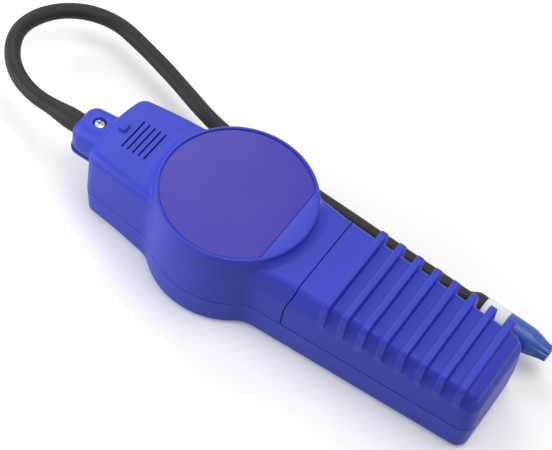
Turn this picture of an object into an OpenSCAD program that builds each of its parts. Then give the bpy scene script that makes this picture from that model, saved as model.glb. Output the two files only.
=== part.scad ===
// Refrigerant leak detector: a hand-held housing that lies on its front face, with a bent gooseneck probe.
// +X runs from the nose to the butt and +Z goes up through the back. Z = 0 is the face that it lies on.

/* [Housing] */
// Radius of the round middle at the parting plane
round_r = 31; // [29.5:0.5:32]
// Half-width of the handle where the battery cover starts
handle_half_w = 21.4; // [20.5:0.1:22]
// Narrowing of the handle's half-width for each millimetre of length
handle_taper = 0.036; // [0.02:0.002:0.04]
// Place of the butt end along X
butt_x = 113.5; // [112:0.5:118]
// Radius of the butt's upright corners
butt_corner_r = 6.5; // [5.5:0.5:8]
// Radius of the fillet between the round middle and the handle
neck_r = 11; // [8:0.5:14]
// Place of the head's front face along X, at its middle
head_front_x = -56; // [-57:0.25:-55]
// Half-width of the head near its front corners
head_half_w = 17.4; // [16.8:0.1:17.8]
// Widening of the head's half-width for each millimetre towards the round middle
head_flare = 0.12; // [0.06:0.01:0.14]
// Radius of the head's upright corners
head_corner_r = 4.8; // [4.8:0.1:6]
// Radius of the bowed front of the head
head_bow_r = 60; // [50:5:90]
// Radius of the fillet between the round middle and the head
cheek_r = 10; // [7:0.5:14]
// Height of the plane where the front and back shells meet
parting_z = 13.5; // [13:0.25:14]
// Height of the back where the battery cover starts
handle_top_z = 35; // [34.5:0.25:36]
// Fall of the handle's back for each millimetre of length
handle_fall = 0.041; // [0.02:0.002:0.045]
// Height of the head's back behind the sound slots
head_top_z = 36; // [35.5:0.25:37]
// Drop of the head's back at its front edge
head_drop = 0.6; // [0.2:0.1:1]
// Wall of the shells
wall = 2.2; // [1.8:0.1:2.4]
// Inward lean of the side walls, as a slope
draft = 0.04; // [0.02:0.005:0.045]
// Radius along the back edge of the handle
handle_edge_r = 1.2; // [0.8:0.1:2]
// Height above which the handle's sides lean in
shoulder_z = 25; // [24:0.5:27]
// Lean of the handle's sides from there to the back edge
shoulder_lean = 1.6; // [0.8:0.1:2]
// Radius along the back edge of the head
head_edge_r = 2.6; // [2:0.1:2.8]
// Radius along the front face's edge
front_edge_r = 2.8; // [2.4:0.2:3.4]

/* [Round plateau and label] */
// Radius of the raised round plateau
plateau_r = 29.8; // [29:0.1:30]
// Height of the plateau's rim
plateau_z = 39.6; // [38.8:0.1:40]
// Radius of the label
label_r = 28; // [26:0.1:28.4]
// Distance from the label's centre to its straight edge
label_flat_x = 21.8; // [18:0.2:25]
// Thickness of the label
label_t = 0.35; // [0.2:0.05:0.5]

/* [Battery cover] */
// Place of the split between back shell and cover along X
split_x = 38.1; // [37.6:0.1:38.6]
// Sweep of the split towards the nose, down the sides
split_sweep = 2.2; // [0:0.1:2.6]
// Number of grip ribs
rib_count = 8; // [6:1:8]
// Distance from one rib to the next
rib_pitch = 7.79; // [6:0.05:7.9]
// Distance from the split to the first rib
rib_start = 12.6; // [11:0.1:13]
// Thickness of a rib
rib_t = 2.8; // [2:0.1:3.4]
// Height of a rib above the back
rib_rise = 3.8; // [2:0.1:4.5]
// Bevel along the edges of a rib
rib_bevel = 0.5; // [0.2:0.1:0.8]
// Open seam round the cover
seam = 0.2; // [0.15:0.05:0.3]

/* [Sound slots] */
// Number of sound slots
slot_count = 5; // [3:1:5]
// Distance from one slot to the next
slot_pitch = 2.4; // [2:0.1:2.8]
// Length of a slot
slot_l = 13.6; // [10:0.2:16]
// Width of a slot
slot_w = 0.7; // [0.6:0.1:1.2]

/* [Probe clamp] */
// Place of the clamp's nose along X
nose_x = -69; // [-70:0.25:-68]
// Half-width of the clamp
nose_half_w = 8.3; // [8:0.1:9]
// Height of the clamp's back
nose_top_z = 30; // [29.5:0.25:30.5]
// Height of the probe's axis in the clamp
probe_z = 22.5; // [22.3:0.1:22.8]
// Place of the clamp screw along X
clamp_screw_x = -60.4; // [-61.5:0.1:-59.8]
// Radius of the clamp screw's shank
clamp_screw_r = 1.5; // [1.2:0.1:1.6]

/* [Gooseneck probe] */
// Radius of the steel gooseneck
neck_core_r = 2.5; // [2.2:0.1:2.6]
// Radius of the shrunk sleeve along the probe
sleeve_r = 3.15; // [3:0.05:3.3]
// Radius of the sleeve where it covers the ferrule
sleeve_root_r = 4.2; // [4.1:0.05:4.3]
// Radius of the ferrule
ferrule_r = 3.6; // [3.5:0.05:3.65]
// Fall of the probe from the clamp to its far leg
probe_sink = 10.5; // [9.5:0.25:11]
// Radius of the sensor guard and the tip
tip_r = 5.2; // [5:0.1:5.3]
// Length of the tip cap
tip_l = 19; // [17:0.5:21]
// Length of the clear sensor guard
guard_l = 10; // [9:0.5:11]

/* [Front face] */
// Radius of a key's cap
key_r = 5.6; // [5:0.1:6]
// Travel of a key
key_travel = 0.8; // [0.5:0.1:0.9]
// Half the distance between the key rows and columns
key_half_pitch = 9.6; // [9.4:0.1:10]
// Place of the middle of the keys along X
keys_x = 2.5; // [2:0.5:4]
// Number of leak level lamps
lamp_count = 7; // [5:1:7]
// Radius of the arc that the lamps lie on
lamp_arc_r = 23; // [22.6:0.2:23.4]
// Radius of a lamp
lamp_r = 1.5; // [1:0.1:1.6]

/* [Inside] */
// Height of the main board's lower face
board_z = 8.2; // [8:0.1:9]
// Thickness of the main board
board_t = 1.6; // [1.2:0.1:1.8]
// Radius of the main board's round part
board_r = 26; // [25.6:0.2:26.6]
// Radius of a cell
cell_r = 7.25; // [7:0.05:7.3]
// Length of a cell with its button
cell_l = 50.5; // [49:0.25:50.5]
// Height of the cells' axes
cell_z = 20; // [19.5:0.25:20.5]

/* [Hidden] */

$fn = 48;
fit = 0.15;
lap = 1;
far = 300;
sharp = 0.4;

blue = "#4f58c8";
black = "#2e2e30";
steel = "#c6c9cc";

// Driving line of the handle's side: unit normal and distance from the origin
handle_lean = atan(handle_taper);
handle_n = [sin(handle_lean), cos(handle_lean)];
handle_d = handle_n * [split_x, handle_half_w];
// Driving line of the head's side
head_side_x = -53;
head_lean = atan(head_flare);
head_n = [-sin(head_lean), cos(head_lean)];
head_t = [-cos(head_lean), -sin(head_lean)];
head_d = head_n * [head_side_x, head_half_w];

function along(n, d, s) = n * d + s;
function bearing(p) = atan2(p.y, p.x);
function smooth(t) = let (u = min(max(t, 0), 1)) u * u * (3 - 2 * u);

// Centres of the arcs that make up one half of the outline
butt_c_x = butt_x - butt_corner_r;
butt_c = [butt_c_x, (handle_d - butt_corner_r - handle_n.x * butt_c_x) / handle_n.y];
neck_s = sqrt(pow(round_r + neck_r, 2) - pow(handle_d + neck_r, 2));
neck_c = along(handle_n, handle_d + neck_r, neck_s * [handle_n.y, -handle_n.x]);
cheek_s = sqrt(pow(round_r + cheek_r, 2) - pow(head_d + cheek_r, 2));
cheek_c = along(head_n, head_d + cheek_r, cheek_s * head_t);
bow_c = [head_front_x + head_bow_r, 0];
corner_q = head_n * (head_d - head_corner_r) - bow_c;
corner_s = -corner_q * head_t
    + sqrt(pow(corner_q * head_t, 2) - corner_q * corner_q + pow(head_bow_r - head_corner_r, 2));
corner_c = along(head_n, head_d - head_corner_r, corner_s * head_t);

// Arcs from the butt to the head: centre, radius, start, end, side (1 bulges out, -1 in), first step, steps, last
HALF_ARCS = [
    [butt_c, butt_corner_r, 0, 90 - handle_lean, 1, 0, 7, 7],
    [neck_c, neck_r, 270 - handle_lean, 180 + bearing(neck_c), -1, 0, 6, 6],
    [[0, 0], round_r, bearing(neck_c), bearing(cheek_c), 1, 1, 18, 18],
    [cheek_c, cheek_r, 180 + bearing(cheek_c), 270 + head_lean, -1, 1, 6, 6],
    [corner_c, head_corner_r, 90 + head_lean, bearing(corner_c - bow_c), 1, 0, 7, 7],
    [bow_c, head_bow_r, bearing(corner_c - bow_c), 180, 1, 1, 4, 3]
];

// Samples of that half: place, inward normal and the deepest inset that it takes
HALF = [
    for (a = HALF_ARCS)
        for (k = [a[5]:a[7]])
            let (t = a[2] + (a[3] - a[2]) * k / a[6], out = [cos(t), sin(t)])
                [a[0] + a[1] * out, -a[4] * out, a[4] > 0 ? a[1] - sharp : far]
];
HALF_N = len(HALF);

slot_last_x = -36;
back_slope = (head_top_z - handle_top_z) / (split_x - slot_last_x);
function handle_half(x) = handle_half_w - handle_taper * (x - split_x);
// Height of the back, which bows down to the head's front and falls along the handle
function back_z(x) = x < slot_last_x
    ? head_top_z - head_drop * pow((slot_last_x - x) / (slot_last_x - head_front_x), 2)
    : x < split_x ? head_top_z - back_slope * (x - slot_last_x) : handle_top_z - handle_fall * (x - split_x);
edge_from = -40;
edge_to = -24;
// Share of the head's own form at a place along X
function head_share(x) = 1 - smooth((x - edge_from) / (edge_to - edge_from));
function edge_r(x) = handle_edge_r + (head_edge_r - handle_edge_r) * head_share(x);
// The head's back walls stand almost upright
head_draft = 0.002;
function back_draft(x) = draft + (head_draft - draft) * head_share(x);
// The head's front edge is rounder, and its walls lean in more towards the front face
head_front_edge_r = 3.4;
head_foot_lean = 0.5;
function foot_edge_r(x) = front_edge_r + (head_front_edge_r - front_edge_r) * head_share(x);

lean_from = 20;
lean_to = 34;
function lean_in(x) = shoulder_lean * smooth((x - lean_from) / (lean_to - lean_from));

// Height and inset of a section: -2 is the parting plane, -1 the shoulder, and 0 to 90 goes round the edge
function back_section(x, a, w) =
    let (e = max(edge_r(x) - w, sharp), top = back_z(x) - w)
        a < -1 ? [parting_z - (w > 0 ? lap : 0), w]
        : a < 0 ? [shoulder_z, w + back_draft(x) * (shoulder_z - parting_z)]
        : [top - e + e * sin(a), w + back_draft(x) * (top - e - parting_z) + lean_in(x) + e * (1 - cos(a))];
function front_section(x, a, w) =
    let (e = max(foot_edge_r(x) - w, sharp), lean = draft * (parting_z - w - e) + head_foot_lean * head_share(x))
        a < 0 ? [parting_z + (w > 0 ? lap : 0), w] : [w + e - e * sin(a), w + lean + e * (1 - cos(a))];
tall_z = plateau_z + lap;
tall_inset = 0.12;
function tall_section(a) =
    a < 0 ? [parting_z, tall_inset] : [tall_z, tall_inset + draft * (tall_z - parting_z)];

// One ring of the loft: every sample moved inwards to its section, then mirrored to the other side
function ring(kind, a, w) = let (side = [
    for (h = HALF)
        let (s = kind == "back" ? back_section(h[0].x, a, w)
               : kind == "front" ? front_section(h[0].x, a, w) : tall_section(a),
             p = h[0] + h[1] * min(s[1], h[2]))
            [p.x, p.y, s[0]]
]) concat(side, [for (i = [HALF_N - 1:-1:0]) [side[i].x, -side[i].y, side[i].z]]);

// Closed skin through rings of equal count, capped by strips from side to side
module loft(rings) {
    n = len(rings[0]);
    last = (len(rings) - 1) * n;
    sides = [
        for (r = [0:len(rings) - 2])
            for (k = [0:n - 1])
                let (j = (k + 1) % n, b = r * n)
                    each [[b + k, b + n + k, b + n + j], [b + k, b + n + j, b + j]]
    ];
    caps = [
        for (i = [0:n / 2 - 2])
            each [[i, i + 1, n - 2 - i, n - 1 - i],
                  [last + n - 1 - i, last + n - 2 - i, last + i + 1, last + i]]
    ];
    polyhedron([for (r = rings) each r], concat(sides, caps), convexity = 6);
}

OUTER_STEPS = [0:15:90];
INNER_STEPS = [0:30:90];
module back_form(w = 0) {
    loft([for (a = [-2, -1, each [for (s = w > 0 ? INNER_STEPS : OUTER_STEPS) s]]) ring("back", a, w)]);
}
module front_form(w = 0) {
    steps = [for (s = w > 0 ? INNER_STEPS : OUTER_STEPS) s];
    loft([for (a = [each [for (i = [len(steps) - 1:-1:0]) steps[i]], -1]) ring("front", a, w)]);
}

// Box between two places along X, wide and tall enough to cut the whole housing
module slab(x0, x1) {
    translate([x0, -far / 2, -far / 2]) cube([x1 - x0, far, far]);
}

module rod(r, z0, z1) {
    translate([0, 0, z0]) cylinder(r = r, h = z1 - z0);
}

// Plateau with a rounded rim and a concave flare, cut back to the line of the side walls
plateau_round = 1;
flare_w = 4.5;
module plateau() {
    foot_z = back_z(plateau_r);
    flare_h = plateau_z - plateau_round - foot_z;
    intersection() {
        rotate_extrude($fn = 96)
            polygon([
                [0, foot_z - lap],
                [plateau_r + flare_w, foot_z - lap],
                for (a = [90:-15:0])
                    [plateau_r + flare_w * (1 - cos(a)), foot_z + flare_h * (1 - sin(a))],
                for (a = [15:15:90])
                    [plateau_r - plateau_round * (1 - cos(a)), plateau_z - plateau_round * (1 - sin(a))],
                [0, plateau_z]
            ]);
        loft([ring("tall", -1, 0), ring("tall", 1, 0)]);
    }
}

label_gap = 0.45;
label_seat_z = plateau_z - label_gap - label_t;
module label_shape(r, flat_x) {
    intersection() {
        circle(r, $fn = 120);
        translate([flat_x - 2 * r, -r]) square([2 * r, 2 * r]);
    }
}

// Clamp nose: a rounded block that runs back into the head
nose_corner_r = 4.3;
nose_edge_r = 4.2;
nose_plate_t = 1.3;
nose_depth = 13.6;
nose_bottom_z = nose_top_z - nose_depth;
nose_back_x = -50;
nose_rise = 2.2;
module nose_post(z1) {
    rotate_extrude($fn = 32)
        polygon([
            [0, nose_bottom_z + nose_plate_t],
            [nose_corner_r, nose_bottom_z + nose_plate_t],
            for (a = [0:18:90])
                [nose_corner_r - nose_edge_r * (1 - cos(a)), z1 - nose_edge_r * (1 - sin(a))],
            [0, z1]
        ]);
}
module nose_block() {
    hull() for (side = [-1, 1]) {
        translate([nose_x + nose_corner_r, side * (nose_half_w - nose_corner_r), 0]) nose_post(nose_top_z);
        translate([nose_back_x, side * (nose_half_w - nose_corner_r), 0]) nose_post(nose_top_z + nose_rise);
    }
}
// Channel for the ferrule: round above its axis and open below, flared at the mouth
mouth_flare = 1.6;
channel_r = ferrule_r + fit;
channel_end_x = head_front_x + wall + lap;
module probe_channel() {
    along_x(nose_x - lap, channel_end_x, channel_r);
    translate([nose_x - lap, -channel_r, nose_bottom_z - lap])
        cube([channel_end_x - nose_x + lap, 2 * channel_r, probe_z - nose_bottom_z + lap]);
    translate([nose_x - fit, 0, probe_z]) rotate([0, 90, 0])
        cylinder(r1 = channel_r + mouth_flare, r2 = channel_r, h = mouth_flare);
}
module along_x(x0, x1, r, z = probe_z) {
    translate([x0, 0, z]) rotate([0, 90, 0]) cylinder(r = r, h = x1 - x0);
}

screw_head_r = 2;
screw_head_h = 1.7;
screw_sink = 2.1;
screw_cup_r = 2.6;
clamp_hole_r = clamp_screw_r + fit;

module sound_slots() {
    for (i = [0:slot_count - 1])
        translate([slot_last_x - i * slot_pitch, 0, 0]) {
            translate([-slot_w / 2, -slot_l / 2, head_top_z - 2 * wall]) cube([slot_w, slot_l, 3 * wall]);
            for (side = [-1, 1])
                translate([0, side * slot_l / 2, 0]) rod(slot_w / 2, head_top_z - 2 * wall, head_top_z + wall);
        }
}

// Small moulded pad beside the sound slots
pad_size = [2.6, 3.4];
pad_at = [-49.85, 0.4];
pad_rise = 0.6;
module head_pad() {
    translate([pad_at.x, pad_at.y, back_z(pad_at.x) - wall]) linear_extrude(wall + pad_rise)
        square(pad_size, center = true);
}

// Lip under the battery cover that carries the handle screws
lip_t = 2;
lip_top_z = 28;
lip_end_x = split_x + 8;
lip_half_w = 15.6;
bulkhead_x = split_x - split_sweep - 3;
handle_screw_x = split_x + 4;
handle_screw_y = 11;
handle_screw_r = 1.4;
handle_boss_r = 3.2;
module cover_lip() {
    translate([bulkhead_x, -lip_half_w, lip_top_z - lip_t]) cube([lip_end_x - bulkhead_x, 2 * lip_half_w, lip_t]);
    intersection() {
        back_form(wall / 2);
        translate([bulkhead_x, -far / 2, parting_z]) cube([wall, far, lip_top_z - parting_z]);
    }
}

// Everything behind the split, which is square across the back and sweeps forward down the sides
split_bend_z = 34;
split_foot_z = 22;
module behind_split(gap = 0) {
    line = [for (t = [0:0.25:1]) [-split_sweep * smooth(t), split_bend_z + (split_foot_z - split_bend_z) * t]];
    translate([split_x + gap, 0, 0]) rotate([90, 0, 0]) linear_extrude(far, center = true)
        polygon([[0, far], each line, [-split_sweep, -far], [far, -far], [far, far]]);
}

// Back half of the housing, with the plateau, the clamp nose and the sound slots
plateau_hollow_r = plateau_r - 2 * wall;
module back_shell() {
    color(blue) difference() {
        union() {
            difference() {
                union() {
                    back_form();
                    plateau();
                    head_pad();
                }
                back_form(wall);
                rod(plateau_hollow_r, parting_z, label_seat_z - wall);
                behind_split();
            }
            difference() {
                nose_block();
                slab(head_front_x + wall, 0);
            }
            cover_lip();
        }
        probe_channel();
        sound_slots();
        translate([0, 0, label_seat_z]) linear_extrude(far)
            label_shape(label_r + fit, label_flat_x + fit);
        translate([clamp_screw_x, 0, 0]) {
            rod(clamp_hole_r, probe_z, nose_top_z + lap);
            rod(screw_cup_r, nose_top_z - screw_sink, nose_top_z + wall);
        }
        for (side = [-1, 1])
            translate([handle_screw_x, side * handle_screw_y, 0])
                rod(handle_screw_r + fit, lip_top_z - lip_t - lap, lip_top_z + lap);
    }
}

// Posts inside the front shell
pilot_r = 1.25;
board_boss_r = 3;
board_screw_at = [[0, 21.4], [0, -21.4], [-38, 10.8], [-38, -10.8]];
key_at = [for (x = [1, -1]) for (y = [1, -1]) [keys_x + x * key_half_pitch, y * key_half_pitch]];
key_hole_r = key_r + 2 * fit;
lamp_spread = 100;
lamp_at = [
    for (i = [0:lamp_count - 1])
        let (t = 180 + lamp_spread * (i / (lamp_count - 1) - 0.5)) lamp_arc_r * [cos(t), sin(t)]
];

module front_shell() {
    color(blue) difference() {
        union() {
            difference() {
                front_form();
                front_form(wall);
            }
            for (p = board_screw_at) translate(p) rod(board_boss_r, wall / 2, board_z);
            for (side = [-1, 1])
                translate([handle_screw_x, side * handle_screw_y, 0]) rod(handle_boss_r, wall / 2, lip_top_z - lip_t);
        }
        for (p = board_screw_at) translate(p) rod(pilot_r, wall, board_z + lap);
        for (side = [-1, 1])
            translate([handle_screw_x, side * handle_screw_y, 0]) rod(handle_screw_r, parting_z, lip_top_z);
        for (p = key_at) translate(p) rod(key_hole_r, -lap, wall + lap);
        for (p = lamp_at) translate(p) rod(lamp_r + fit, -lap, wall + lap);
    }
}

// Grip rib: a plate across the handle whose sides lean in and whose upper corners are round
rib_round = 2.4;
rib_lean = 0.9;
RIB_STEPS = [0:15:90];
// Outline of a rib, drawn in by an inset
function rib_outline(x, inset) =
    let (top = back_z(x) + rib_rise - inset, half = handle_half(x) - rib_lean - inset, r = rib_round - inset,
         foot = handle_half(x) - draft * (shoulder_z - parting_z) - inset,
         side = concat([[foot, shoulder_z]], [for (a = RIB_STEPS) [half - r * (1 - cos(a)), top - r * (1 - sin(a))]]))
        concat(side, [for (i = [len(side) - 1:-1:0]) [-side[i].x, side[i].y]]);
module rib(x) {
    cuts = [[-rib_t / 2, rib_bevel], [rib_bevel - rib_t / 2, 0], [rib_t / 2 - rib_bevel, 0], [rib_t / 2, rib_bevel]];
    outlines = [for (c = cuts) [for (p = rib_outline(x, c[1])) [x + c[0], p.x, p.y]]];
    n = len(outlines[0]);
    last = (len(cuts) - 1) * n;
    skin = [
        for (r = [0:len(cuts) - 2])
            for (k = [0:n - 1])
                let (j = (k + 1) % n, b = r * n)
                    each [[b + k, b + n + k, b + n + j], [b + k, b + n + j, b + j]]
    ];
    ends = [[for (i = [0:n - 1]) i], [for (i = [n - 1:-1:0]) last + i]];
    polyhedron([for (o = outlines) each o], concat(skin, ends), convexity = 4);
}

// Sliding cover of the battery bay: handle back with grip ribs, and a tab that goes under the back shell
tab_half_w = 13;
tab_l = 4;
tab_t = 1.5;
module battery_cover() {
    tab_top = back_z(split_x) - wall - fit;
    color(blue) {
        difference() {
            intersection() {
                union() {
                    back_form();
                    for (i = [0:rib_count - 1]) rib(split_x + rib_start + i * rib_pitch);
                }
                behind_split(seam);
            }
            back_form(wall);
            translate([-far / 2, -far / 2, -far]) cube([far, far, far + parting_z + seam]);
        }
        translate([split_x - tab_l, -tab_half_w, tab_top - tab_t - fit]) cube([2 * tab_l, 2 * tab_half_w, tab_t]);
        translate([split_x + tab_l / 2, -tab_half_w, tab_top - 2 * fit - tab_t / 2])
            cube([1.5 * tab_l, 2 * tab_half_w, tab_t]);
    }
}

module label() {
    color("#5f52b8") translate([0, 0, label_seat_z]) linear_extrude(label_t) label_shape(label_r, label_flat_x);
}

// Cross recess in a screw's head
module cross_recess(z, size, depth) {
    for (turn = [0, 90])
        rotate(turn) translate([-size / 2, -size / 8, z - depth]) cube([size, size / 4, depth + lap]);
}
module screw(seat_z, end_z, r, head_r, head_h) {
    difference() {
        union() {
            rod(head_r, seat_z, seat_z + head_h);
            rod(r, end_z, seat_z + head_h / 2);
        }
        cross_recess(seat_z + head_h, 1.4 * head_r, 0.6 * head_h);
    }
}

module clamp_screw() {
    color(steel) translate([clamp_screw_x, 0, 0])
        screw(nose_top_z - screw_sink, nose_bottom_z + nose_plate_t / 4, clamp_screw_r, screw_head_r, screw_head_h);
}

// Strap under the clamp nose, with a saddle that holds the ferrule in its channel
strap_back_x = head_front_x + wall;
module probe_clamp() {
    color(blue) difference() {
        union() {
            translate([0, 0, nose_bottom_z]) linear_extrude(nose_plate_t - fit) {
                for (side = [-1, 1])
                    translate([nose_x + nose_corner_r, side * (nose_half_w - nose_corner_r)]) circle(nose_corner_r);
                translate([nose_x + nose_corner_r, -nose_half_w])
                    square([head_front_x - fit - nose_x - nose_corner_r, 2 * nose_half_w]);
                translate([nose_x, nose_corner_r - nose_half_w])
                    square([nose_corner_r, 2 * (nose_half_w - nose_corner_r)]);
            }
            saddle_l = head_front_x - nose_x - mouth_flare - 2 * fit;
            translate([nose_x + mouth_flare + fit, fit - channel_r, nose_bottom_z])
                cube([saddle_l, 2 * (channel_r - fit), probe_z - nose_bottom_z - fit]);
        }
        along_x(nose_x - lap, strap_back_x, channel_r);
        translate([clamp_screw_x, 0, 0]) rod(clamp_screw_r + fit / 3, nose_bottom_z - lap, probe_z);
    }
}

// Route of the probe in plan: straights [length, 0] and bends [radius, turn], from inside the clamp
route_start = [-57, 0];
route_heading = 180;
ROUTE = [
    [28.4, 0], [31.7, -66.3], [20.8, -30.4], [27.2, -92.7], [187, -9.9], [10, 0], [110.7, 16.3], [96.4, 0]
];
ROUTE_FALL = 5;
function leg_length(g) = g[1] == 0 ? g[0] : g[0] * abs(g[1]) * PI / 180;
function leg_steps(g) = g[1] == 0 ? (g[0] > 45 ? 4 : 2) : ceil(abs(g[1]) / (g[0] > 100 ? 2.5 : 9));
function leg_point(g, p, h, t) =
    g[1] == 0 ? p + g[0] * t * [cos(h), sin(h)]
              : let (s = sign(g[1]), a = h - 90 * s + g[1] * t)
                    p + g[0] * s * [-sin(h), cos(h)] + g[0] * [cos(a), sin(a)];
function leg_end(i) = i == 0 ? [route_start, route_heading, 0]
    : let (e = leg_end(i - 1), g = ROUTE[i - 1]) [leg_point(g, e[0], e[1], 1), e[1] + g[1], e[2] + leg_length(g)];
fall_from = leg_end(1)[2];
fall_to = leg_end(ROUTE_FALL)[2];
function route_z(s) = probe_z - probe_sink * smooth((s - fall_from) / (fall_to - fall_from));
// Stations along the route: place, heading and distance
STATIONS = [
    each [[[route_start.x, route_start.y, probe_z], route_heading, 0]],
    for (i = [0:len(ROUTE) - 1])
        let (g = ROUTE[i], e = leg_end(i), n = leg_steps(g))
            for (k = [1:n])
                let (p = leg_point(g, e[0], e[1], k / n), s = e[2] + leg_length(g) * k / n)
                    [[p.x, p.y, route_z(s)], e[1] + g[1] * k / n, s]
];
tip_frame = leg_end(len(ROUTE));
tip_z = probe_z - probe_sink;
SWEEP_SIDES = 12;

// Round section at one station, square to the route
function hoop(st, r) = [
    for (i = [0:SWEEP_SIDES - 1])
        let (a = 360 * (i + 0.5) / SWEEP_SIDES)
            st[0] + r * [-sin(st[1]) * cos(a), cos(st[1]) * cos(a), sin(a)]
];
// Solid along the route: a list of hoops, closed at both ends
module swept(hoops) {
    n = SWEEP_SIDES;
    last = (len(hoops) - 1) * n;
    sides = [
        for (r = [0:len(hoops) - 2])
            for (k = [0:n - 1])
                let (j = (k + 1) % n, b = r * n)
                    each [[b + k, b + n + j, b + n + k], [b + k, b + j, b + n + j]]
    ];
    ends = [[for (i = [n - 1:-1:0]) i], [for (i = [0:n - 1]) last + i]];
    polyhedron([for (h = hoops) each h], concat(sides, ends), convexity = 10);
}
// Closed tube along the route: hoops out along the outside, back along the inside
module swept_tube(outer, inner) {
    n = SWEEP_SIDES;
    hoops = concat(outer, [for (i = [len(inner) - 1:-1:0]) inner[i]]);
    m = len(hoops);
    faces = [
        for (r = [0:m - 1])
            for (k = [0:n - 1])
                let (j = (k + 1) % n, b = r * n, c = ((r + 1) % m) * n)
                    each [[b + k, c + j, c + k], [b + k, b + j, c + j]]
    ];
    polyhedron([for (h = hoops) each h], faces, convexity = 10);
}

ferrule_bore_r = neck_core_r + fit / 3;
ferrule_front_l = 7;
ferrule_front_x = nose_x - ferrule_front_l;
ferrule_back_x = head_front_x + wall;
module probe_ferrule() {
    color(steel) difference() {
        along_x(ferrule_front_x, ferrule_back_x, ferrule_r);
        along_x(ferrule_front_x - lap, ferrule_back_x + lap, ferrule_bore_r);
        translate([clamp_screw_x, 0, 0]) rod(clamp_hole_r, 0, far);
    }
}

// Steel gooseneck from inside the ferrule to the sensor socket
core_root_x = clamp_screw_x - clamp_hole_r - 2;
function core_stations() = concat(
    [[[core_root_x, 0, probe_z], route_heading, 0]],
    [for (s = STATIONS) if (s[2] >= fall_from) s]
);
module gooseneck() {
    color("#8d9094") swept([for (s = core_stations()) hoop(s, neck_core_r)]);
}

// Shrunk sleeve: wide over the ferrule, then close on the gooseneck
sleeve_front_x = nose_x - 1.5;
sleeve_step_x = ferrule_front_x - 1;
sleeve_taper_l = 4;
sleeve_narrow_x = sleeve_step_x - sleeve_taper_l;
sleeve_bore_r = neck_core_r + fit / 2;
sleeve_root_bore_r = (ferrule_r + fit / 2) / cos(180 / SWEEP_SIDES);
function root_station(x) = [[x, 0, probe_z], route_heading, 0];
module probe_sleeve() {
    run = [for (s = STATIONS) if (s[2] >= fall_from) s];
    outer = concat(
        [for (x = [sleeve_front_x, sleeve_step_x]) hoop(root_station(x), sleeve_root_r)],
        [hoop(root_station(sleeve_narrow_x), sleeve_r)],
        [for (s = run) hoop(s, sleeve_r)]
    );
    inner = concat(
        [for (x = [sleeve_front_x, sleeve_step_x]) hoop(root_station(x), sleeve_root_bore_r)],
        [hoop(root_station(sleeve_narrow_x), sleeve_bore_r)],
        [for (s = run) hoop(s, sleeve_bore_r)]
    );
    color(black) swept_tube(outer, inner);
}

// Everything at the sensor end is turned about the probe's last straight, with u measured from the sleeve's end
collar_l = 8;
collar_r = 5;
socket_l = 5;
guard_wall = 1;
guard_spigot_l = 4;
tip_straight = 0.48;
tip_end_r = 3.3;
tip_hole_r = 1.7;
flute_count = 8;
flute_r = 0.7;
module at_tip() {
    translate([tip_frame[0].x, tip_frame[0].y, tip_z]) rotate([0, 0, tip_frame[1]]) rotate([0, 90, 0]) children();
}
guard_bore_r = tip_r - guard_wall;
spigot_r = guard_bore_r - fit;
socket_r = guard_bore_r - 2 * fit;

// Black collar that flares from the sleeve to the guard, with a seat for the socket
module sensor_collar() {
    color(black) at_tip() rotate_extrude()
        polygon([
            [0, 0],
            [sleeve_r, 0],
            for (i = [0:6]) [sleeve_r + (collar_r - sleeve_r) * smooth(i / 6), collar_l * (0.1 + 0.9 * i / 6)],
            [0, collar_l]
        ]);
}

// Round socket that stands on the collar and carries the sensor inside the guard
module sensor_socket() {
    color("#e8e6df") at_tip() rod(socket_r, collar_l, collar_l + socket_l);
}

// Sensor: a small can with a domed end
sensor_r = 2.6;
sensor_l = 6;
module sensor_element() {
    color(steel) at_tip() translate([0, 0, collar_l + socket_l]) rotate_extrude()
        polygon([
            [0, 0],
            [sensor_r, 0],
            for (a = [0:15:90]) [sensor_r - 1 + cos(a), sensor_l - 1 + sin(a)],
            [0, sensor_l]
        ]);
}

// Clear guard: a tube on the collar, with a thinner end that the tip cap pushes over
module sensor_guard() {
    color("#dfe6ea", 0.5) at_tip() difference() {
        union() {
            rod(tip_r, collar_l, collar_l + guard_l);
            rod(spigot_r, collar_l, collar_l + guard_l + guard_spigot_l);
        }
        rod(socket_r + fit / 2, collar_l - lap, collar_l + guard_l - guard_wall);
        rod(sensor_r + guard_wall, collar_l, collar_l + guard_l + guard_spigot_l + lap);
    }
}

// Tip cap: a round socket that tapers to a fluted end with a breathing hole
module tip_cap() {
    start = collar_l + guard_l + fit / 3;
    shoulder = start + tip_l * tip_straight;
    taper_l = tip_l * (1 - tip_straight);
    color("#2f5cb0") at_tip() difference() {
        rotate_extrude()
            polygon([
                [0, start],
                [tip_r, start],
                [tip_r, shoulder],
                for (i = [1:6]) [tip_r + (tip_end_r - tip_r) * smooth(i / 6), shoulder + taper_l * i / 6],
                [0, start + tip_l]
            ]);
        rod(guard_bore_r, start - lap, start + guard_spigot_l + lap);
        rod(tip_hole_r, start, start + tip_l + lap);
        for (i = [0:flute_count - 1])
            rotate(360 * i / flute_count) translate([tip_end_r + flute_r / 2, 0, 0])
                rod(flute_r, shoulder + taper_l / 2, start + tip_l + lap);
    }
}

// Main board: round under the plateau, with a neck into the head
board_head_x = -48;
board_half_w = 13.6;
board_hole_r = pilot_r + fit;
module main_board() {
    color("#2c6b3f") translate([0, 0, board_z]) linear_extrude(board_t) difference() {
        union() {
            circle(board_r, $fn = 96);
            translate([board_head_x, -board_half_w]) square([-board_head_x, 2 * board_half_w]);
        }
        for (p = board_screw_at) translate(p) circle(board_hole_r);
    }
}
board_top_z = board_z + board_t;

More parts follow.
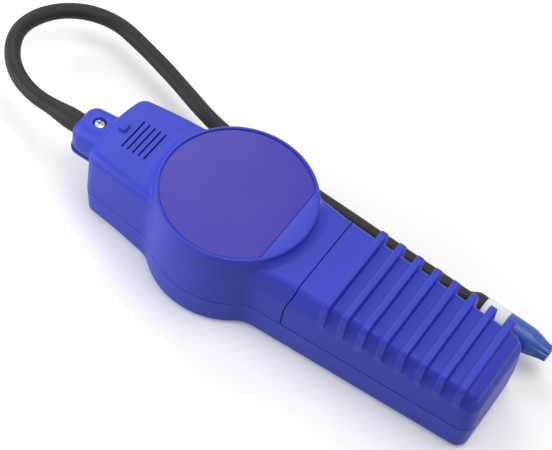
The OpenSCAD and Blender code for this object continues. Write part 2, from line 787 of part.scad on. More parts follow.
buzzer_r = 6.8;
buzzer_h = 9;
buzzer_x = -40.5;
module buzzer() {
    color("#1d1d1f") translate([buzzer_x, 0, 0]) difference() {
        rod(buzzer_r, board_top_z, board_top_z + buzzer_h);
        rod(buzzer_r / 5, board_top_z + buzzer_h / 2, board_top_z + buzzer_h + lap);
    }
}

// Round lamps on their leads, standing down from the board into the front face
lamp_recess = 0.4;
lamp_body_l = 4.6;
lead_half = 0.25;
module leak_lamps() {
    color("#d9453a") for (p = lamp_at) translate(p) {
        translate([0, 0, lamp_recess + lamp_r]) {
            sphere(r = lamp_r, $fn = 32);
            cylinder(r = lamp_r, h = lamp_body_l - lamp_r);
        }
        for (side = [-1, 1])
            translate([side * lamp_r / 2 - lead_half, -lead_half, lamp_recess + lamp_body_l - lap])
                cube([2 * lead_half, 2 * lead_half, board_z - lamp_recess - lamp_body_l + lap]);
    }
}

// Keys: a cap in the front face, a flange inside it and a stem up to the switch
key_recess = 0.4;
key_flange_r = key_hole_r + 0.8;
key_flange_t = 1;
stem_r = 1.4;
stem_gap = 0.2;
switch_h = 2.4;
switch_half = 3.1;
key_flange_z = wall + fit / 3;
module key(i) {
    color("#26282c") translate(key_at[i]) {
        rod(key_r, key_recess, key_flange_z + key_flange_t / 2);
        rod(key_flange_r, key_flange_z, key_flange_z + key_flange_t);
        rod(stem_r, key_flange_z + key_flange_t / 2, board_z - switch_h - stem_gap);
    }
}
module power_key() { key(0); }
module reset_key() { key(1); }
module sensitivity_up_key() { key(2); }
module sensitivity_down_key() { key(3); }

module key_switches() {
    color("#c9c9c4") for (p = key_at) translate(p) difference() {
        translate([-switch_half, -switch_half, board_z - switch_h]) cube([2 * switch_half, 2 * switch_half, switch_h]);
        rod(stem_r + 2 * fit, 0, board_z - switch_h + key_travel + stem_gap);
    }
}

// Parts on the upper face of the board
transformer_size = [11, 9, 8];
transformer_at = [12, -9];
chip_size = [10, 10, 1.6];
chip_at = [-8, 0];
module on_board(at, size) {
    translate([at.x - size.x / 2, at.y - size.y / 2, board_top_z]) cube(size);
}
module step_up_transformer() {
    color("#d8b23a") on_board(transformer_at, transformer_size);
}
module controller_chip() {
    color("#202124") on_board(chip_at, chip_size);
}
capacitor_r = 3;
capacitor_h = 10;
capacitor_at = [[12, 8], [4, 11], [-20, 9]];
module capacitors() {
    color("#2b3350") for (p = capacitor_at)
        translate(p) rod(capacitor_r, board_top_z, board_top_z + capacitor_h);
}

small_head_r = 2.4;
small_head_h = 1.6;
screw_bite = 4;
module board_screws() {
    color(steel) for (p = board_screw_at) translate(p)
        screw(board_top_z, board_z - screw_bite, pilot_r - fit / 3, small_head_r, small_head_h);
}
module handle_screws() {
    color(steel) for (side = [-1, 1])
        translate([handle_screw_x, side * handle_screw_y, 0])
            screw(lip_top_z, lip_top_z - lip_t - 2 * screw_bite, handle_screw_r - fit / 3, small_head_r, small_head_h);
}

// Battery tray: floor and walls round two cells, on two feet along the front shell
cell_gap = 0.7;
cell_y = cell_r + cell_gap / 2;
tray_wall = 1;
spring_l = 4.6;
contact_t = 0.5;
tray_half_w = cell_y + cell_r + fit + tray_wall;
tray_gap = 0.4;
tray_x = lip_end_x + tray_gap;
tray_in_x = tray_x + tray_wall;
tray_in_l = cell_l + spring_l + 2 * contact_t + 2 * fit;
tray_end_x = tray_in_x + tray_in_l + tray_wall;
tray_floor_z = cell_z - cell_r - fit;
foot_y = 10;
module battery_tray() {
    color("#2a2b2f") {
        difference() {
            translate([tray_x, -tray_half_w, tray_floor_z - tray_wall])
                cube([tray_end_x - tray_x, 2 * tray_half_w, cell_z - tray_floor_z + tray_wall]);
            translate([tray_in_x, tray_wall - tray_half_w, tray_floor_z])
                cube([tray_in_l, 2 * (tray_half_w - tray_wall), cell_r + cell_z]);
        }
        for (side = [-1, 1])
            translate([tray_x, side * foot_y - tray_wall, wall])
                cube([tray_end_x - tray_x - butt_corner_r, 2 * tray_wall, tray_floor_z - wall - tray_wall / 2]);
    }
}

// Cell along +X from its flat end, with a button at the other
button_r = 2.7;
button_l = 1.2;
crimp = 0.6;
module cell() {
    rotate([0, 90, 0]) rotate_extrude()
        polygon([
            [0, 0],
            [cell_r - crimp, 0],
            [cell_r, crimp],
            [cell_r, cell_l - button_l - crimp],
            [cell_r - crimp, cell_l - button_l],
            [button_r, cell_l - button_l],
            [button_r, cell_l],
            [0, cell_l]
        ]);
}
contact_front_x = tray_in_x + contact_t;
contact_rear_x = tray_in_x + tray_in_l - contact_t;
module battery_left() {
    color("#3c4046") translate([contact_rear_x - fit - cell_l, cell_y, cell_z]) cell();
}
module battery_right() {
    color("#3c4046") translate([contact_front_x + fit + cell_l, -cell_y, cell_z]) rotate([0, 0, 180]) cell();
}

// Contact springs: a coil that narrows from its plate to the cell
coil_turns = 3;
coil_steps = 12;
wire_r = 0.45;
coil_r0 = 4.4;
coil_r1 = 2.6;
module coil(length) {
    n = coil_turns * coil_steps;
    sides = 6;
    run = length - 2 * wire_r;
    pts = [
        for (i = [0:n])
            let (a = 360 * i / coil_steps, r = coil_r0 + (coil_r1 - coil_r0) * i / n)
                for (k = [0:sides - 1])
                    let (b = 360 * k / sides, q = r + wire_r * cos(b))
                        [wire_r + run * i / n + wire_r * sin(b), q * cos(a), q * sin(a)]
    ];
    skin = [
        for (i = [0:n - 1])
            for (k = [0:sides - 1])
                let (j = (k + 1) % sides, b = i * sides)
                    each [[b + k, b + sides + k, b + sides + j], [b + k, b + sides + j, b + j]]
    ];
    ends = [[for (k = [0:sides - 1]) k], [for (k = [sides - 1:-1:0]) n * sides + k]];
    polyhedron(pts, concat(skin, ends), convexity = 8);
}
module contact_springs() {
    color(steel) {
        translate([contact_front_x, cell_y, cell_z]) coil(spring_l);
        translate([contact_rear_x, -cell_y, cell_z]) rotate([0, 0, 180]) coil(spring_l);
    }
}

contact_half = 5.4;
module contact_plate(x, y0, y1) {
    translate([x, y0, cell_z - contact_half]) cube([contact_t, y1 - y0, 2 * contact_half]);
}
module front_contacts() {
    color(steel) for (side = [-1, 1])
        contact_plate(tray_in_x, side * cell_y - contact_half, side * cell_y + contact_half);
}
module rear_contact() {
    color(steel) contact_plate(contact_rear_x, -cell_y - contact_half, cell_y + contact_half);
}

front_shell();
back_shell();
battery_cover();
label();
clamp_screw();
probe_clamp();
probe_ferrule();
gooseneck();
probe_sleeve();
sensor_collar();
sensor_socket();
sensor_element();
sensor_guard();
tip_cap();
main_board();
buzzer();
leak_lamps();
key_switches();
power_key();
reset_key();
sensitivity_up_key();
sensitivity_down_key();
step_up_transformer();
controller_chip();
capacitors();
board_screws();
handle_screws();
battery_tray();
battery_left();
battery_right();
contact_springs();
front_contacts();
rear_contact();
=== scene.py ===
# Looks of the refrigerant leak detector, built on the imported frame.
# Sizes are in millimetres until a mesh is made.
import math

import bmesh
import bpy
import numpy as np
from mathutils import Matrix, Vector


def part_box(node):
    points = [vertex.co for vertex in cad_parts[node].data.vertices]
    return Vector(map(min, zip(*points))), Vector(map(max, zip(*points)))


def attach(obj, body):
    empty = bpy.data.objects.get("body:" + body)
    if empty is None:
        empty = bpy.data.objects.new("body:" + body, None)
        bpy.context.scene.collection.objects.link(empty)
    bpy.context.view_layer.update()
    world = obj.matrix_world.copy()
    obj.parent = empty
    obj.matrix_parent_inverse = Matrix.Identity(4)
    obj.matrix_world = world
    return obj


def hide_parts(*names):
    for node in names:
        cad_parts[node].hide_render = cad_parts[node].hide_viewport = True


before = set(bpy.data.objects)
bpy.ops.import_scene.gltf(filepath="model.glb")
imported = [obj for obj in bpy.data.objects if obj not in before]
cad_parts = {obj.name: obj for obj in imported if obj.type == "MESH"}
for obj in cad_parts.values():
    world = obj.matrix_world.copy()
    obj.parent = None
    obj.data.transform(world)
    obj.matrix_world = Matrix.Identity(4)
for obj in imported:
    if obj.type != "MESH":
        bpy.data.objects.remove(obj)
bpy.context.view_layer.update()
mm = 0.001
print("frame loaded:", len(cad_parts), "nodes")

# Colour, node and mesh helpers

sharpDegrees = 38  # edges that bend more than this stay sharp
weldDistance, dissolveDistance = 2e-6, 1e-6  # in metres
tiny = 1e-6  # keeps a division away from zero
largeSides, middleSides, smallSides = 56, 48, 32  # sides of turned pieces


# sRGB hex code to linear light
def linearColour(code):
    srgb = np.array([int(code[i:i + 2], 16) for i in (1, 3, 5)]) / 255
    linear = np.where(srgb <= 0.04045, srgb / 12.92, ((srgb + 0.055) / 1.055) ** 2.4)
    return (*linear.tolist(), 1.0)


def addNode(tree, kind, settings=None, links=None):
    node = tree.nodes.new("ShaderNode" + kind)
    for name, value in (settings or {}).items():
        if name in node.inputs:
            node.inputs[name].default_value = value
        else:
            setattr(node, name, value)
    for name, socket in (links or {}).items():
        tree.links.new(socket, node.inputs[name])
    return node


def smoothStep(t):
    u = np.clip(t, 0, 1)
    return u * u * (3 - 2 * u)


# Unit rounding at given degrees: along a quarter circle one share grows from 0 to 1 as the other shrinks
def bend(degrees):
    turn = np.radians(degrees)
    return list(zip(1 - np.cos(turn), 1 - np.sin(turn)))


softBend = bend([0, 30, 60, 90])


def weld(mesh):
    work = bmesh.new()
    work.from_mesh(mesh)
    bmesh.ops.remove_doubles(work, verts=work.verts, dist=weldDistance)
    bmesh.ops.dissolve_degenerate(work, edges=work.edges, dist=dissolveDistance)
    bmesh.ops.recalc_face_normals(work, faces=work.faces)
    work.to_mesh(mesh)
    work.free()


def smoothByAngle(mesh, degrees):
    mesh.shade_smooth()
    mesh.set_sharp_from_angle(angle=math.radians(degrees))


# A skin is points in millimetres and faces; its mesh is in metres
def skinMesh(name, skin):
    mesh = bpy.data.meshes.new(name)
    mesh.from_pydata((np.asarray(skin[0]) * mm).tolist(), [], skin[1])
    return mesh


def linked(name, data):
    piece = bpy.data.objects.new(name, data)
    bpy.context.scene.collection.objects.link(piece)
    return piece


# Every piece says what body it rides and the node that it replaces
def newPiece(name, mesh, material, node, body="housing", sharp=sharpDegrees):
    piece = linked(name, mesh)
    weld(mesh)
    smoothByAngle(mesh, sharp)
    mesh.materials.append(material)
    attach(piece, body)
    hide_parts(node)
    return piece


def skinPiece(name, skin, material, node, body="housing"):
    return newPiece(name, skinMesh(name, skin), material, node, body)


def gridFaces(rows, columns, start=0, wrap=False, flip=False):
    i, j = np.meshgrid(np.arange(rows - 1), np.arange(columns if wrap else columns - 1), indexing="ij")
    k = (j + 1) % columns
    quads = np.stack([i * columns + j, i * columns + k, (i + 1) * columns + k, (i + 1) * columns + j], -1)
    quads = quads.reshape(-1, 4) + start
    return (quads[:, ::-1] if flip else quads).tolist()


# Several skins as one: each part's faces count on from the points before it
def joined(*parts):
    points, faces, start = [], [], 0
    for partPoints, partFaces in parts:
        points.append(np.asarray(partPoints).reshape(-1, 3))
        faces += [[index + start for index in face] for face in partFaces]
        start += len(points[-1])
    return np.concatenate(points), faces


# Rings round the Z axis: each has a reach and a height at every bearing
def ringSkin(turn, rings):
    reach, height = (np.stack([np.broadcast_to(ring[k], len(turn)) for ring in rings]) for k in (0, 1))
    points = np.stack([reach * np.cos(turn), reach * np.sin(turn), height], -1)
    return points.reshape(-1, 3), gridFaces(len(rings), len(turn), wrap=True)


# A turned surface: each profile point (along, radius) goes once round the axis
def turned(profile, sides, origin=(0, 0, 0), axis=(0, 0, 1)):
    profile = np.asarray(profile, float)
    axis = np.asarray(axis, float) / np.linalg.norm(axis)
    first = np.cross(axis, (0, 0, 1) if abs(axis[2]) < 0.9 else (1, 0, 0))
    first /= np.linalg.norm(first)
    second = np.cross(axis, first)
    turn = np.linspace(0, 2 * np.pi, sides, endpoint=False)
    ring = np.cos(turn)[:, None] * first + np.sin(turn)[:, None] * second
    points = np.asarray(origin) + profile[:, None, :1] * axis + profile[:, None, 1:] * ring
    return points.reshape(-1, 3), gridFaces(len(profile), sides, wrap=True)


# Rounded profile corner: points of a quarter turn from one direction to the other
def quarter(centre, radius, start, end, steps=6):
    turn = np.radians(np.linspace(start, end, steps + 1))
    return [(centre[0] + radius * math.cos(a), centre[1] + radius * math.sin(a)) for a in turn]


# A tube: a circle of changing radius carried square along a path
def tube(path, radii, sides, closeEnds=False):
    path = np.asarray(path, float)
    ahead = np.gradient(path, axis=0)
    ahead /= np.linalg.norm(ahead, axis=1)[:, None]
    side = np.cross(ahead, (0, 0, 1))
    side /= np.linalg.norm(side, axis=1)[:, None]
    over = np.cross(side, ahead)
    turn = np.linspace(0, 2 * np.pi, sides, endpoint=False)
    radii = np.broadcast_to(np.asarray(radii, float), len(path))[:, None, None]
    ring = np.cos(turn)[None, :, None] * side[:, None] + np.sin(turn)[None, :, None] * over[:, None]
    points = path[:, None] + radii * ring
    faces = gridFaces(len(path), sides, wrap=True)
    if closeEnds:
        faces += [list(range(sides)), list(range((len(path) - 1) * sides, len(path) * sides))]
    return points.reshape(-1, 3), faces


# A box whose edges are rounded: a cube grid pushed out from an inner box by a fixed radius
def roundedBox(low, high, radius, steps=4):
    low, high = np.asarray(low, float), np.asarray(high, float)
    t = np.linspace(-1, 1, 2 * steps)
    u, v = np.meshgrid(t, t, indexing="ij")
    points, faces = [], []
    for axis in range(3):
        for sign in (-1, 1):
            cube = np.empty(u.shape + (3,))
            cube[..., axis] = sign
            cube[..., (axis + 1) % 3] = u
            cube[..., (axis + 2) % 3] = v
            angle = np.tan(np.abs(cube) * np.pi / 4) * np.sign(cube)
            angle[..., axis] = sign
            normal = angle / np.linalg.norm(angle, axis=-1, keepdims=True)
            inner = np.where(cube >= 0, high - radius, low + radius)
            start = sum(len(p) for p in points)
            points.append((inner + radius * normal).reshape(-1, 3))
            faces += gridFaces(2 * steps, 2 * steps, start, flip=sign < 0)
    return np.concatenate(points), faces


# Takes a cutter's skin out of a piece
def cut(piece, skin):
    mesh = skinMesh("cutter", skin)
    weld(mesh)
    cutter = linked("cutter", mesh)
    modifier = piece.modifiers.new("cut", "BOOLEAN")
    modifier.operation = "DIFFERENCE"
    modifier.solver = "EXACT"
    modifier.object = cutter
    depsgraph = bpy.context.evaluated_depsgraph_get()
    result = bpy.data.meshes.new_from_object(piece.evaluated_get(depsgraph))
    piece.modifiers.remove(modifier)
    old = piece.data
    piece.data = result
    bpy.data.meshes.remove(old)
    bpy.data.objects.remove(cutter)
    bpy.data.meshes.remove(mesh)
    weld(result)
    smoothByAngle(result, sharpDegrees)


# Materials

toneStops = (0.3, 0.7)  # where the slow drift turns from the dark tone to the light one
grainStrength = 0.6


def newMaterial(name):
    material = bpy.data.materials.new(name)
    material.use_nodes = True
    tree = material.node_tree
    return material, tree, tree.nodes["Principled BSDF"]


def setInputs(shader, settings):
    for name, value in settings.items():
        shader.inputs[name].default_value = value


# Fine grain and a slow drift of tone, both in millimetres on Object coordinates. Grain on the smooth finishes
# is drawn coarser than the real one, so that it shows
def grained(name, dark, light, rough, grain, height, drift=30.0, spread=0.05, settings=None):
    material, tree, shader = newMaterial(name)
    place = addNode(tree, "TexCoord").outputs["Object"]
    slow = addNode(tree, "TexNoise", {"Scale": 1 / (drift * mm), "Detail": 3.0}, {"Vector": place})
    tone = addNode(tree, "ValToRGB", links={"Fac": slow.outputs["Fac"]})
    for stop, position, code in zip(tone.color_ramp.elements, toneStops, (dark, light)):
        stop.position = position
        stop.color = linearColour(code)
    tree.links.new(tone.outputs["Color"], shader.inputs["Base Color"])
    fine = addNode(tree, "TexNoise", {"Scale": 1 / (grain * mm), "Detail": 2.0}, {"Vector": place})
    dull = addNode(tree, "MapRange", {"To Min": rough - spread, "To Max": rough + spread},
                   {"Value": fine.outputs["Fac"]})
    tree.links.new(dull.outputs["Result"], shader.inputs["Roughness"])
    bump = addNode(tree, "Bump", {"Strength": grainStrength, "Distance": height * mm},
                   {"Height": fine.outputs["Fac"]})
    tree.links.new(bump.outputs["Normal"], shader.inputs["Normal"])
    setInputs(shader, settings or {})
    return material


# Spark-eroded mould: a satin blue skin with soft wide highlights
housingAbs = grained("moulded_blue_abs_satin", "#3642bb", "#3a46bf", rough=0.4, grain=0.35, height=0.012,
                     settings={"Specular IOR Level": 0.2})
# Screen-printed film: smoother and more violet than the housing round it
labelFilm = grained("printed_polyester_film", "#4138a4", "#453ca8", rough=0.4, grain=0.5, height=0.004,
                    drift=18.0, settings={"Specular IOR Level": 0.25})
# Heat-shrunk polyolefin: near black with a dull sheen and faint unevenness
shrunkSleeve = grained("shrunk_black_polyolefin", "#202021", "#262627", rough=0.52, grain=0.8, height=0.03,
                       drift=9.0, spread=0.08, settings={"Specular IOR Level": 0.25})
# Injected tip in a greener blue, a little glossier than the housing
tipPlastic = grained("moulded_tip_plastic", "#2854aa", "#2e5bb2", rough=0.3, grain=0.4, height=0.01,
                     settings={"Specular IOR Level": 0.5})
# Zinc plate: bright metal whose polish varies over a millimetre or so
zincSteel = grained("bright_zinc_plated_steel", "#c9ccce", "#dcdedf", rough=0.26, grain=0.9, height=0.004,
                    drift=2.5, spread=0.08, settings={"Metallic": 1.0})
# Wound strip under the sleeve: duller steel
stripSteel = grained("wound_steel_strip", "#7d8083", "#93969a", rough=0.42, grain=0.6, height=0.01,
                     drift=4.0, settings={"Metallic": 1.0})
# Nylon socket: warm white, soft highlight
paleNylon = grained("moulded_white_nylon", "#e6e3da", "#eeece5", rough=0.45, grain=0.4, height=0.01)
# Glass laminate under solder mask: glossy dark green
boardMask = grained("green_solder_mask", "#175a2d", "#1d6534", rough=0.3, grain=0.6, height=0.006)
# Black moulded parts inside: matt, with a faint grain
blackNylon = grained("moulded_black_nylon", "#1b1b1d", "#212123", rough=0.5, grain=0.4, height=0.015)
# Tinted epoxy: glossy red
lampEpoxy = grained("tinted_red_epoxy", "#b3261c", "#c42d22", rough=0.14, grain=0.6, height=0.002,
                    spread=0.03, settings={"Coat Weight": 0.4})
# Silicone keys: dark, soft, hardly any highlight
keySilicone = grained("moulded_grey_silicone", "#2a2c31", "#303238", rough=0.6, grain=0.3, height=0.02)
# Tape round the winding: warm yellow with a slight gloss
windingTape = grained("yellow_winding_tape", "#cfa62c", "#d9b23a", rough=0.34, grain=0.7, height=0.01,
                      drift=4.0)
# Shrink sleeve on the capacitors: dark blue and glossy
capacitorSleeve = grained("blue_capacitor_sleeve", "#20294a", "#28325a", rough=0.3, grain=0.6, height=0.005)
# Plain film jacket on the cells: smooth dark grey
cellJacket = grained("plain_cell_jacket", "#3a3e45", "#424750", rough=0.28, grain=0.8, height=0.004)

guardFinish = {"colour": "#fdfefe", "haze": 2.5, "roughness": (0.12, 0.22), "clear": 0.35, "ior": 1.15}


# Moulded polycarbonate: milky white that lets about a third of the light through, with a soft highlight.
# Its IOR is below the real one, so that the curved wall doesn't go dark at its edges
def clearGuard():
    g = guardFinish
    material, tree, shader = newMaterial("clear_moulded_polycarbonate")
    place = addNode(tree, "TexCoord").outputs["Object"]
    haze = addNode(tree, "TexNoise", {"Scale": 1 / (g["haze"] * mm), "Detail": 2.0}, {"Vector": place})
    low, high = g["roughness"]
    rough = addNode(tree, "MapRange", {"To Min": low, "To Max": high}, {"Value": haze.outputs["Fac"]})
    tree.links.new(rough.outputs["Result"], shader.inputs["Roughness"])
    setInputs(shader, {"Base Color": linearColour(g["colour"]), "IOR": g["ior"]})
    setInputs(shader, {"Transmission Weight": g["clear"]})
    return material


guardPlastic = clearGuard()
print("materials made")

# Housing: one half of its outline in plan, from the butt to the nose

housing = {
    "roundR": 31.0, "handleHalf": 21.4, "handleTaper": 0.036, "buttX": 113.5, "buttCorner": 5.2,
    "neckR": 11.0, "headFrontX": -56.0, "headHalf": 17.4, "headSideX": -53.0, "headFlare": 0.12,
    "headCorner": 4.8, "headBow": 60.0, "cheekR": 10.0, "partingZ": 13.5, "handleTopZ": 35.0,
    "handleFall": 0.041, "headTopZ": 36.0, "headDrop": 0.6, "slotX": -36.0, "wall": 2.2, "draft": 0.04,
    "headDraft": 0.002,
    "handleEdge": 3.2, "headEdge": 3.8, "edgeFrom": -40.0, "edgeTo": -24.0, "leastEdge": 0.4,
    "frontEdge": 2.8, "headFrontEdge": 3.4, "headFootLean": 0.5, "shoulderZ": 25.0, "shoulderLean": 1.6,
    "leanFrom": 20.0, "leanTo": 34.0, "leanCurve": 1.7, "swellFoot": 0.25, "splitX": 38.1, "splitSweep": 2.2,
    "splitReach": 9.0, "splitBendZ": 34.0, "splitFootZ": 22.0, "seam": 0.45, "seamLip": 0.5, "lipShare": 0.02,
    "rowGap": 0.2, "sideFrom": 1.0, "sideTo": 1.6,
}
freeInset = 300.0  # deepest inset of a stretch that has no centre to run into


# Half width of the handle: a straight taper
def handleHalf(x):
    return housing["handleHalf"] - housing["handleTaper"] * (x - housing["splitX"])


# Height of the back: bowed over the head, then two straight slopes
def backZ(x):
    h = housing
    slope = (h["headTopZ"] - h["handleTopZ"]) / (h["splitX"] - h["slotX"])
    bowed = h["headTopZ"] - h["headDrop"] * ((h["slotX"] - x) / (h["slotX"] - h["headFrontX"])) ** 2
    middle = h["headTopZ"] - slope * (x - h["slotX"])
    handle = h["handleTopZ"] - h["handleFall"] * (x - h["splitX"])
    return np.where(x < h["slotX"], bowed, np.where(x < h["splitX"], middle, handle))


# Share of the head's own form at a place along X
def headShare(x):
    return 1 - smoothStep((x - housing["edgeFrom"]) / (housing["edgeTo"] - housing["edgeFrom"]))


def edgeRadius(x):
    return housing["handleEdge"] + (housing["headEdge"] - housing["handleEdge"]) * headShare(x)


# The head's back walls stand almost upright
def backDraft(x):
    return housing["draft"] + (housing["headDraft"] - housing["draft"]) * headShare(x)


# The handle's sides lean in above the shoulder
def leanIn(x):
    h = housing
    return h["shoulderLean"] * smoothStep((x - h["leanFrom"]) / (h["leanTo"] - h["leanFrom"]))


# Arc of the outline: places, inward normals and the deepest inset, at even angles
def arc(centre, radius, start, end, steps, hollow=False):
    turn = np.linspace(start, end, steps + 1)
    out = np.stack([np.cos(turn), np.sin(turn)], -1)
    deepest = freeInset if hollow else radius - housing["leastEdge"]
    return np.asarray(centre) + radius * out, out if hollow else -out, np.full(steps + 1, deepest)


# Straight of the outline at given places along X, inset square to the middle line, so that sections stay flat
def straight(xs, ys):
    return np.stack([xs, ys], -1), np.tile((0.0, -1.0), (len(xs), 1)), np.full(len(xs), freeInset)


def bearing(place):
    return math.atan2(place[1], place[0])


# Each arc touches its neighbours: a centre lies one radius off each line or circle that the arc meets
def outlineArcs():
    h = housing
    lean = math.atan(h["handleTaper"])
    handleN = np.array([math.sin(lean), math.cos(lean)])
    handleD = handleN @ (h["splitX"], h["handleHalf"])
    buttCX = h["buttX"] - h["buttCorner"]
    buttC = np.array([buttCX, (handleD - h["buttCorner"] - handleN[0] * buttCX) / handleN[1]])
    neckS = math.sqrt((h["roundR"] + h["neckR"]) ** 2 - (handleD + h["neckR"]) ** 2)
    neckC = handleN * (handleD + h["neckR"]) + neckS * np.array([handleN[1], -handleN[0]])
    headLean = math.atan(h["headFlare"])
    headN = np.array([-math.sin(headLean), math.cos(headLean)])
    headT = np.array([-math.cos(headLean), -math.sin(headLean)])
    headD = headN @ (h["headSideX"], h["headHalf"])
    cheekS = math.sqrt((h["roundR"] + h["cheekR"]) ** 2 - (headD + h["cheekR"]) ** 2)
    cheekC = headN * (headD + h["cheekR"]) + cheekS * headT
    bowC = np.array([h["headFrontX"] + h["headBow"], 0.0])
    q = headN * (headD - h["headCorner"]) - bowC
    along = -q @ headT + math.sqrt((q @ headT) ** 2 - q @ q + (h["headBow"] - h["headCorner"]) ** 2)
    cornerC = headN * (headD - h["headCorner"]) + along * headT
    toCorner = bearing(cornerC - bowC)
    neckEnds = (1.5 * math.pi - lean, math.pi + bearing(neckC))
    cheekEnds = (math.pi + bearing(cheekC), 1.5 * math.pi + headLean)
    return {
        "butt": arc(buttC, h["buttCorner"], 0, math.pi / 2 - lean, steps=12),
        "neck": arc(neckC, h["neckR"], *neckEnds, steps=10, hollow=True),
        "round": arc((0, 0), h["roundR"], bearing(neckC), bearing(cheekC), steps=40),
        "cheek": arc(cheekC, h["cheekR"], *cheekEnds, steps=10, hollow=True),
        "corner": arc(cornerC, h["headCorner"], math.pi / 2 + headLean, toCorner, steps=12),
        "bow": arc(bowC, h["headBow"], toCorner, math.pi, steps=8),
    }


outline = outlineArcs()
handleEnd = outline["butt"][0][-1][0]
handleStart = outline["neck"][0][0][0]
cheekEnd = outline["cheek"][0][-1]
cornerStart = outline["corner"][0][0]


def stacked(*stretches):
    return [np.concatenate(parts) for parts in zip(*stretches)]


# Stretches of the outline from the neck to the nose, with a given number of rows along the head's side
def headStretches(rows):
    xs = np.linspace(cheekEnd[0] - housing["sideFrom"], cornerStart[0] + housing["sideTo"], rows)
    slope = (cornerStart[1] - cheekEnd[1]) / (cornerStart[0] - cheekEnd[0])
    middle, cheek = ([part[1:] for part in outline[name]] for name in ("round", "cheek"))
    side = straight(xs, cheekEnd[1] + slope * (xs - cheekEnd[0]))
    return outline["neck"], middle, cheek, side, outline["corner"], [part[1:-1] for part in outline["bow"]]


# Shares of the way up the wall and the lean, round the edge, and in over the flat
wallShares = (0.0, housing["lipShare"], 0.3, 0.65, 1.0)
leanShares = np.linspace(0, 1, 9)[1:-1]
edgeBend = bend(np.linspace(0, 90, 9))
flatShares = (0.06, 0.2, 0.36, 0.52, 0.68, 0.84, 1.0)
frontWallShares = (0.0, housing["lipShare"], 0.35, 0.7, 1.0)
frontFlatShares = (0.1, 0.3, 0.5, 0.75, 1.0)


# The outer skin turns in at the parting line, for the groove that shows there
def lipIn(t, wall):
    return housing["seamLip"] * (1 - min(t / housing["lipShare"], 1)) if wall == 0 else 0


# The outline at each level's inset and height, then shares of the way in to the middle line
def insetGrid(samples, levels, wall, shares):
    places, normals, deepest = samples
    grid = []
    for inset, z in levels:
        shift = np.minimum(wall + inset, deepest)[:, None]
        grid.append(np.column_stack([places + normals * shift, np.broadcast_to(z, len(places))]))
    grid += [grid[-1] * (1, 1 - t, 1) for t in shares]
    return np.stack(grid, 1)


# Half grid of the back: height and inset follow the section's wall, lean and edge, then run flat
def backGrid(samples, wall, rise=0.0, lean=None, edge=None, swell=0.0):
    h = housing
    x = samples[0][:, 0]
    e = np.maximum((edgeRadius(x) if edge is None else edge) - wall, h["leastEdge"])
    top = backZ(x) - wall + rise
    draft = backDraft(x)
    footIn = draft * (h["shoulderZ"] - h["partingZ"])
    edgeIn = lean
    if lean is None:
        edgeIn = np.maximum(draft * (top - rise - e - h["partingZ"]) + leanIn(x), footIn)
    levels = []
    for t in wallShares:
        z = h["partingZ"] + (h["shoulderZ"] - h["partingZ"]) * t
        levels.append((draft * (z - h["partingZ"]) + lipIn(t, wall), z))
    for t in leanShares:
        bend = t * t * (h["leanCurve"] - (h["leanCurve"] - 1) * t)
        bulge = swell * smoothStep(t / h["swellFoot"]) * (1 - t)
        z = h["shoulderZ"] + (top - e - h["shoulderZ"]) * t
        levels.append((footIn + (edgeIn - footIn) * bend - bulge, z))
    levels += [(edgeIn + e * grow, top - e * shrink) for grow, shrink in edgeBend]
    return insetGrid(samples, levels, wall, flatShares)


# Half grid of the front: wall down to the edge, then flat to the middle line
def frontGrid(samples, wall):
    h = housing
    share = headShare(samples[0][:, 0])
    e = np.maximum(h["frontEdge"] + (h["headFrontEdge"] - h["frontEdge"]) * share - wall, h["leastEdge"])
    low = wall + e
    edgeIn = h["draft"] * (h["partingZ"] - low) + h["headFootLean"] * share
    levels = []
    for t in frontWallShares:
        levels.append((edgeIn * t + lipIn(t, wall), h["partingZ"] + (low - h["partingZ"]) * t))
    levels += [(edgeIn + e * grow, wall + e * shrink) for grow, shrink in edgeBend[1:]]
    return insetGrid(samples, levels, wall, frontFlatShares)


# Both halves side by side, so that one row runs from parting line to parting line
def wholeGrid(half):
    other = half[:, :-1] * (1, -1, 1)
    return np.concatenate([half, other[:, ::-1]], 1)


# End rows with their width taken out close the grid along the middle line
def closedRow(row):
    return (row * (1, 0, 1))[None]


# Split between shell and cover: rows near it sweep forward as they go down the sides
def sweepSplit(grid):
    h = housing
    near = 1 - smoothStep(np.abs(grid[..., 0] - h["splitX"]) / h["splitReach"])
    down = smoothStep((h["splitBendZ"] - grid[..., 2]) / (h["splitBendZ"] - h["splitFootZ"]))
    grid[..., 0] -= h["splitSweep"] * near * down
    return grid


# Shell: outer and inner grids of one shape, joined by a rim along their open borders
def shellOf(outer, inner, openStart=False, openEnd=False):
    rows, columns = outer.shape[:2]
    count = rows * columns
    index = np.arange(count).reshape(rows, columns)
    borders = [index[:, 0], index[::-1, -1]]
    if openStart:
        borders.append(index[0, ::-1])
    if openEnd:
        borders.append(index[-1])
    faces = gridFaces(rows, columns) + gridFaces(rows, columns, count, flip=True)
    for line in borders:
        faces += np.stack([line[:-1], line[1:], line[1:] + count, line[:-1] + count], -1).tolist()
    return np.concatenate([outer.reshape(-1, 3), inner.reshape(-1, 3)]), faces


# Battery cover: the handle's back with grip ribs raised out of the same grid

cover = {
    "ribs": 8, "pitch": 7.79, "start": 12.6, "thick": 2.8, "rise": 3.8, "round": 2.2, "lean": 0.6,
    "swell": 0.6, "crown": 0.45, "foot": 0.5, "leadRows": (0.0, 0.3, 3.5, 7.0), "tabHalf": 13.0,
    "tabLength": 4.0, "tabThick": 1.5, "tabGap": 0.3, "tabOverlap": 0.1, "tabRound": 0.3,
}


